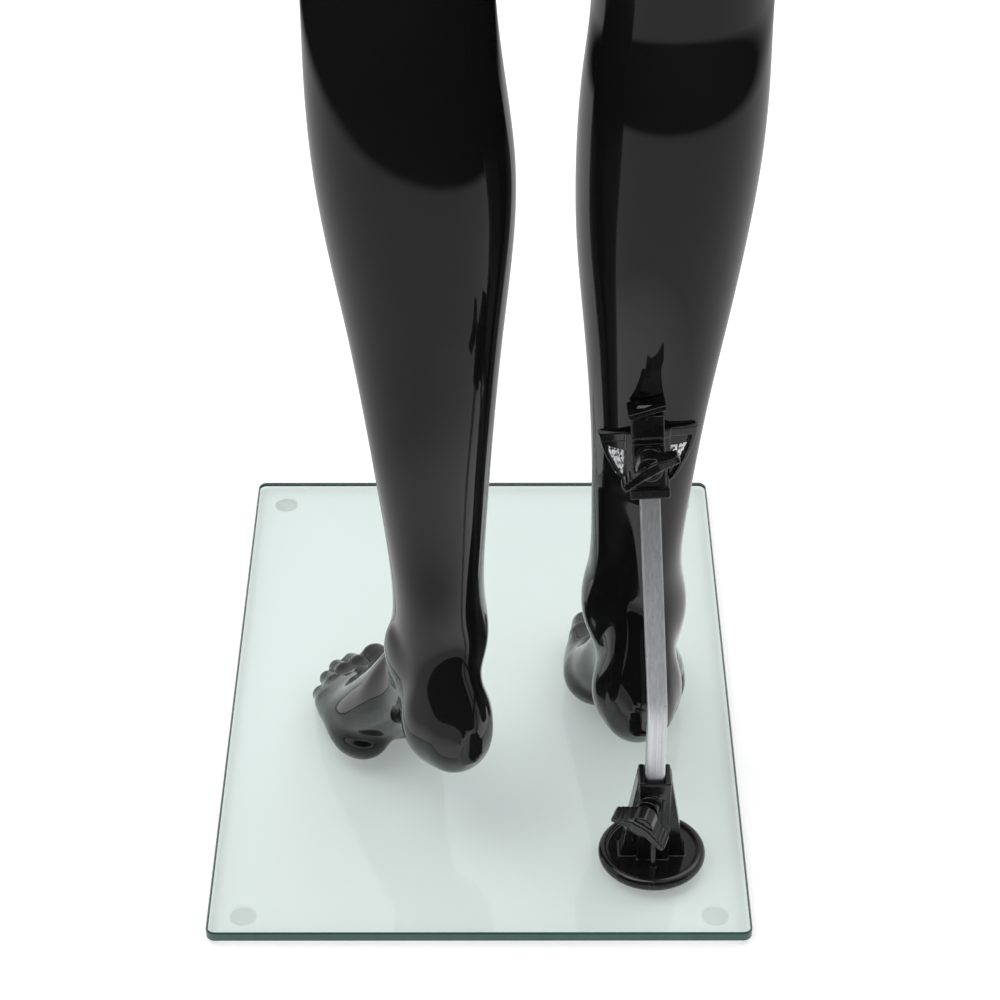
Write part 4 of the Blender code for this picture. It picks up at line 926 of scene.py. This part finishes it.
def build_fittings():
    socket = Vector((*SOCKET_XY, GLASS_TOP + SEAM))
    axes = [span(-0.0292, 0.0292, 0.0006)] * 2 + [span(-0.0012, 0.0616, 0.0006)]
    fitting("socket_moulding", socket_field, axes, "base", "rod_socket", Matrix.Translation(socket))
    axis = Vector((math.sin(SOCKET_KNOB_TURN), math.cos(SOCKET_KNOB_TURN), 0))
    tip = Vector((*SOCKET_XY, SOCKET_KNOB_Z)) + axis * 0.0063
    grid = [span(-0.0167, 0.0167, 0.0004), span(-0.0075, 0.0075, 0.0004)]
    fitting("socket_wing_knob", wing_field(0.0092), grid + [span(0.0078, 0.0275, 0.0004)], "socket_knob",
            "socket_knob", wing_matrix(tip, axis, SOCKET_WING_LIFT))
    back = rod_directions()[2]
    tip = clamp_matrix() @ Vector((0, ROD / 2 + 0.0002, 0.001))
    fitting("clamp_wing_knob", wing_field(0.009), grid + [span(0.0076, 0.0273, 0.0004)], "clamp_knob",
            "clamp_knob", wing_matrix(tip, back, CLAMP_WING_LIFT))
    axes = [span(-0.029, 0.029, 0.0006), span(-0.033, 0.0152, 0.0006), span(-0.0265, 0.028, 0.0006)]
    fitting("calf_saddle", bracket_field, axes, "right_leg", "calf_bracket", clamp_matrix())
    for word in WINDOW_FILMS:
        window_film(word)


def rod_stations():
    """Places and directions down the rod's middle, in close steps round its bend."""
    along = rod_directions()[0]
    bend, up = Vector((*SOCKET_XY, ROD_BEND_Z)), Vector((0, 0, 1))
    stations = [(Vector((*SOCKET_XY, z)), up) for z in np.linspace(ROD_BOTTOM, ROD_BEND_Z - BEND_REACH, 6)]
    start, end = stations[-1][0], bend + along * BEND_REACH
    for t in np.linspace(0, 1, 17)[1:]:
        place = start * (1 - t) ** 2 + bend * (2 * t * (1 - t)) + end * t ** 2
        stations.append((place, up.lerp(along, t).normalized()))
    return stations + [(bend + along * d, along) for d in np.linspace(BEND_REACH, ROD_UPPER, 12)[1:]]


def rod_section():
    """The square's outline with rounded corners: each point with its normal."""
    flat, section = ROD / 2 - ROD_CORNER, []
    for quarter in range(4):
        corner = math.pi / 2 * quarter
        cx = math.copysign(flat, math.cos(corner + math.pi / 4))
        cy = math.copysign(flat, math.sin(corner + math.pi / 4))
        for a in np.linspace(0, math.pi / 2, 7):
            nx, ny = math.cos(corner + a), math.sin(corner + a)
            section.append((cx + nx * ROD_CORNER, cy + ny * ROD_CORNER, nx, ny))
    return section


def build_rod():
    """The bent square rod, with smooth corners and flat ends."""
    stations, section = rod_stations(), rod_section()
    points, normals, faces = [], [], []
    for centre, direction in stations:
        side = Vector((1, 0, 0))
        side = (side - direction * side.dot(direction)).normalized()
        rear = direction.cross(side)
        points += [centre + side * a + rear * b for a, b, _, _ in section]
        normals += [side * c + rear * d for _, _, c, d in section]
    m = len(section)
    for i, k in product(range(len(stations) - 1), range(m)):
        w = (k + 1) % m
        faces.append((i * m + k, i * m + w, (i + 1) * m + w, (i + 1) * m + k))
    faces += [tuple(reversed(range(m))), tuple(range(len(points) - m, len(points)))]
    mesh = bpy.data.meshes.new("rod_bar")
    mesh.from_pydata(points, [], faces)
    loops = [normals[l.vertex_index] for l in mesh.loops]
    for face in mesh.polygons:
        face.use_smooth = True
        if face.loop_total > 4:
            for l in face.loop_indices:
                loops[l] = face.normal.copy()
    mesh.normals_split_custom_set([tuple(v) for v in loops])
    install(mesh, "rod_bar", "rod", "support_rod", ALUMINIUM)


def plate_ring(builder, z, inset):
    """The plate's outline at a height, its rounded corners drawn in by the inset."""
    ring, radius = [], PLATE_CORNER - inset
    flat_x, flat_y = (h - PLATE_CORNER for h in PLATE_HALF)
    for quarter, (sx, sy) in enumerate(((1, 1), (-1, 1), (-1, -1), (1, -1))):
        for a in np.linspace(0, math.pi / 2, 9):
            x = PLATE_X + sx * flat_x + radius * math.cos(quarter * math.pi / 2 + a)
            y = sy * flat_y + radius * math.sin(quarter * math.pi / 2 + a)
            ring.append(builder.verts.new((x, y, z)))
    return ring


def build_plate():
    """The glass plate: rounded corners, ground edges and the hole for the socket's bolt."""
    low, high = GLASS_BOTTOM, GLASS_TOP
    builder = bmesh.new()
    rings = [plate_ring(builder, *level) for level in (
        (low, PLATE_BEVEL), (low + PLATE_BEVEL, 0.0), (high - PLATE_BEVEL, 0.0), (high, PLATE_BEVEL))]
    holes = [circle_verts(builder, (*SOCKET_XY, z), Vector((1, 0, 0)), Vector((0, 1, 0)), BOLT_HOLE, 32)
             for z in (low, high)]
    for lower, upper in (*zip(rings, rings[1:]), holes[::-1]):
        for (a, b), (c, d) in zip(closed_pairs(lower), closed_pairs(upper)):
            builder.faces.new((a, b, d, c)).material_index = 1
    for outer, hole in ((rings[0], holes[0]), (rings[-1], holes[1])):
        edges = [builder.edges.get(pair) for loop in (outer, hole) for pair in closed_pairs(loop)]
        bmesh.ops.triangle_fill(builder, edges=edges, use_beauty=True)
    bmesh.ops.recalc_face_normals(builder, faces=builder.faces)
    mesh = bpy.data.meshes.new("glass_plate")
    builder.to_mesh(mesh)
    builder.free()
    mesh.materials.append(GLASS)
    mesh.materials.append(GLASS_EDGE)
    install(mesh, "glass_plate", "base", "glass_base", GLASS)


# ---------------------------------------------------------------- the figure
UP = Vector((0, 0, 1))


def leg_seam(side, offset=0.0):
    """A point of the seam between a leg and the hips, and the seam's normal."""
    normal = Vector((-side * math.sin(LEG_SEAM_SLOPE), 0, math.cos(LEG_SEAM_SLOPE)))
    return Vector((side * CROTCH[0], BODY_Y, CROTCH[1])) + normal * offset, normal


def hip_centre(side, offset=0.0):
    point, normal = leg_seam(side)
    outwards = Vector((side * math.cos(LEG_SEAM_SLOPE), 0, math.sin(LEG_SEAM_SLOPE)))
    return point + outwards * 0.095 + Vector((0, 0.008, 0)) + normal * offset


def level_cut(place, way, bore):
    """A level cut that takes away what is beyond the seam upwards (way 1) or downwards (way -1)."""
    point = place - UP * (SEAM * way)
    return point, UP * way, point, bore


def sideways(side, low, high, spacing):
    """Grid positions across the figure, mirrored for the right side."""
    return span(low, high, spacing) if side > 0 else span(-high, -low, spacing)


def shoulder_cut(side, way):
    place = Vector((side * (SHOULDER_X - SEAM * way), SHOULDER_ZY[1], SHOULDER_ZY[0]))
    return place, Vector((side * way, 0, 0)), place, SHOULDER_BORE


def skin(name, field, axes, cuts, body, node):
    return solid(name, field, axes, body, node, BLACK, cuts)


def build_leg(side, word):
    cuts = [(*leg_seam(side, -SEAM), hip_centre(side, -SEAM), HIP_BORE),
            (Vector((side * 0.0006, 0, 0)), Vector((-side, 0, 0)), None, 0)]
    zs = steps((0.004, 0.0018), (0.15, 0.003), (0.93, 0.004))
    skin(f"{word}_leg", lower_leg_field(side),
         [sideways(side, -0.012, 0.186, 0.0022), span(-0.125, 0.205, 0.0022), zs],
         cuts, "hips" if side > 0 else "right_leg", f"{word}_leg_shell")


def build_arm(side, word):
    wrist = Vector((side * WRIST_XY[0], WRIST_XY[1], WRIST_Z))
    skin(f"{word}_arm", arm_part_field(side),
         [sideways(side, 0.135, 0.245, 0.0028), span(0.0, 0.16, 0.0028), span(0.87, 1.45, 0.0034)],
         [shoulder_cut(side, -1), level_cut(wrist, -1, ARM_WRIST_BORE)], f"{word}_arm", f"{word}_arm_shell")
    skin(f"{word}_hand_skin", hand_part_field(side),
         [sideways(side, 0.185, 0.245, 0.0018), span(-0.03, 0.09, 0.0018), span(0.712, 0.897, 0.0018)],
         [level_cut(wrist, 1, HAND_WRIST_BORE)], f"{word}_hand", f"{word}_hand")


def build_figure():
    for side, word in SIDES:
        build_leg(side, word)
    waist, neck = Vector((0, BODY_Y, WAIST_Z)), Vector((0, NECK_Y, NECK_Z))
    cuts = [level_cut(waist, 1, WAIST_BORE)]
    for side, _ in SIDES:
        point, normal = leg_seam(side, SEAM)
        cuts.append((point, -normal, hip_centre(side, SEAM), HIP_BORE))
    skin("pelvis", lower_field,
         [span(-0.18, 0.18, 0.0032), span(-0.03, 0.205, 0.0032), span(0.8, 1.115, 0.0032)],
         cuts, "hips", "pelvis_shell")
    cuts = [level_cut(waist, -1, WAIST_BORE), level_cut(neck, 1, NECK_BORE)]
    skin("torso", upper_field,
         [span(-0.2, 0.2, 0.0034), span(-0.06, 0.2, 0.0034), span(1.085, 1.495, 0.0034)],
         cuts + [shoulder_cut(side, 1) for side, _ in SIDES], "torso", "torso_shell")
    skin("head", neck_and_head_field,
         [span(-0.085, 0.085, 0.0028), span(-0.045, 0.175, 0.0028), span(1.465, 1.762, 0.0028)],
         [level_cut(neck, -1, NECK_BORE)], "head", "head_shell")
    for side, word in SIDES:
        build_arm(side, word)


SIDES = ((1, "left"), (-1, "right"))
build_plate()
build_rod()
build_fittings()
build_figure()


# ---------------------------------------------------------------- studio
def stage_plane(name, size, place, brightness, turn=(0, 0, 0)):
    bpy.ops.mesh.primitive_plane_add(size=1.0, location=place, rotation=turn)
    plane = bpy.context.object
    plane.name = name
    plane.scale = (*size, 1)
    n = Nodes(name + "_paint")
    n.set(Base_Color=(*[brightness] * 3, 1), Roughness=0.95, Specular_IOR_Level=0.0)
    plane.data.materials.append(n.material)
    return plane, n


def painted_shade_card(name, size, place, turn=(0, 0, 0)):
    """A black card that only reflections see: painted shade in place of dark surroundings."""
    card, n = stage_plane(name, size, place, PAINTED_SHADE_BLACK, turn)
    card.visible_camera = card.visible_diffuse = card.visible_transmission = card.visible_shadow = False
    return n


def painted_floor_shade():
    """Painted shade for the floor far from the set, seen only in reflections. Its full black starts softly
    past the edge of the sweep.
    """
    n = painted_shade_card("painted_floor_shade_card", (60, 60), (0, 0, 0.012))
    nodes = n.tree.nodes
    away, painted_shade = nodes.new("ShaderNodeVectorMath"), nodes.new("ShaderNodeMath")
    away.operation, painted_shade.operation = "DISTANCE", "MAXIMUM"
    n.wire(away.inputs[0], nodes.new("ShaderNodeNewGeometry").outputs["Position"])
    away.inputs[1].default_value = SET_CENTRE
    n.wire(painted_shade.inputs[0], n.ramp(away.outputs["Value"], *PAINTED_BLACK_RAMP))
    n.wire(painted_shade.inputs[1], n.ramp(away.outputs["Value"], *PAINTED_SHADE_START, 0.0, PAINTED_SHADE_DEPTH))
    n.blend(painted_shade.outputs[0], nodes.new("ShaderNodeBsdfTransparent"), n.shader)


# In reflections only, painted shade darkens the floor: none close to the set, part shade further out, and
# painted black past the edge of the sweep.
PAINTED_SHADE_START, PAINTED_SHADE_DEPTH, PAINTED_BLACK_RAMP = (0.18, 0.33), 0.55, (0.84, 1.08)
SET_CENTRE, PAINTED_SHADE_BLACK, FLOOR_GREY, FLOOR_GLOW, ROOM_LIGHT = (0, 0.1, 0), 0.004, 0.9, 0.34, 0.6


def studio():
    floor = stage_plane("floor", (40, 40), (0, 0, 0), FLOOR_GREY)[1]
    floor.set(Emission_Color=(1, 1, 1, 1), Emission_Strength=FLOOR_GLOW)
    painted_floor_shade()
    # A card of painted shade, seen only in reflections, stands for the dark room behind the camera.
    painted_shade_card("room", (24, 6.0), (0, 4.2, 3.0), (math.radians(90), 0, 0))
    world = bpy.data.worlds.new("studio")
    bpy.context.scene.world = world
    world.use_nodes = True
    backdrop = world.node_tree.nodes["Background"].inputs
    backdrop[0].default_value, backdrop[1].default_value = (1, 1, 1, 1), ROOM_LIGHT
    for name, place, size, power in (("key", (0.9, 0.3, 3.0), 2.2, 38), ("fill", (-1.5, -0.9, 2.8), 2.2, 22)):
        lamp = bpy.data.lights.new(name, "AREA")
        lamp.size, lamp.energy = size, power
        obj = bpy.data.objects.new(name, lamp)
        obj.location = place
        obj.rotation_euler = (Vector((0, 0.1, 0.3)) - Vector(place)).to_track_quat("-Z", "Y").to_euler()
        bpy.context.scene.collection.objects.link(obj)


def camera():
    data = bpy.data.cameras.new("camera")
    data.lens = 100.0
    data.sensor_width = 36.0
    data.clip_end = 200
    obj = bpy.data.objects.new("camera", data)
    obj.location = (0.018, 1.225, 1.0123)
    obj.rotation_euler = (math.radians(90 - 35.54), 0, math.radians(180 - 0.04))
    bpy.context.scene.collection.objects.link(obj)
    bpy.context.scene.camera = obj


studio()
camera()
bpy.context.scene.view_settings.view_transform = "Standard"
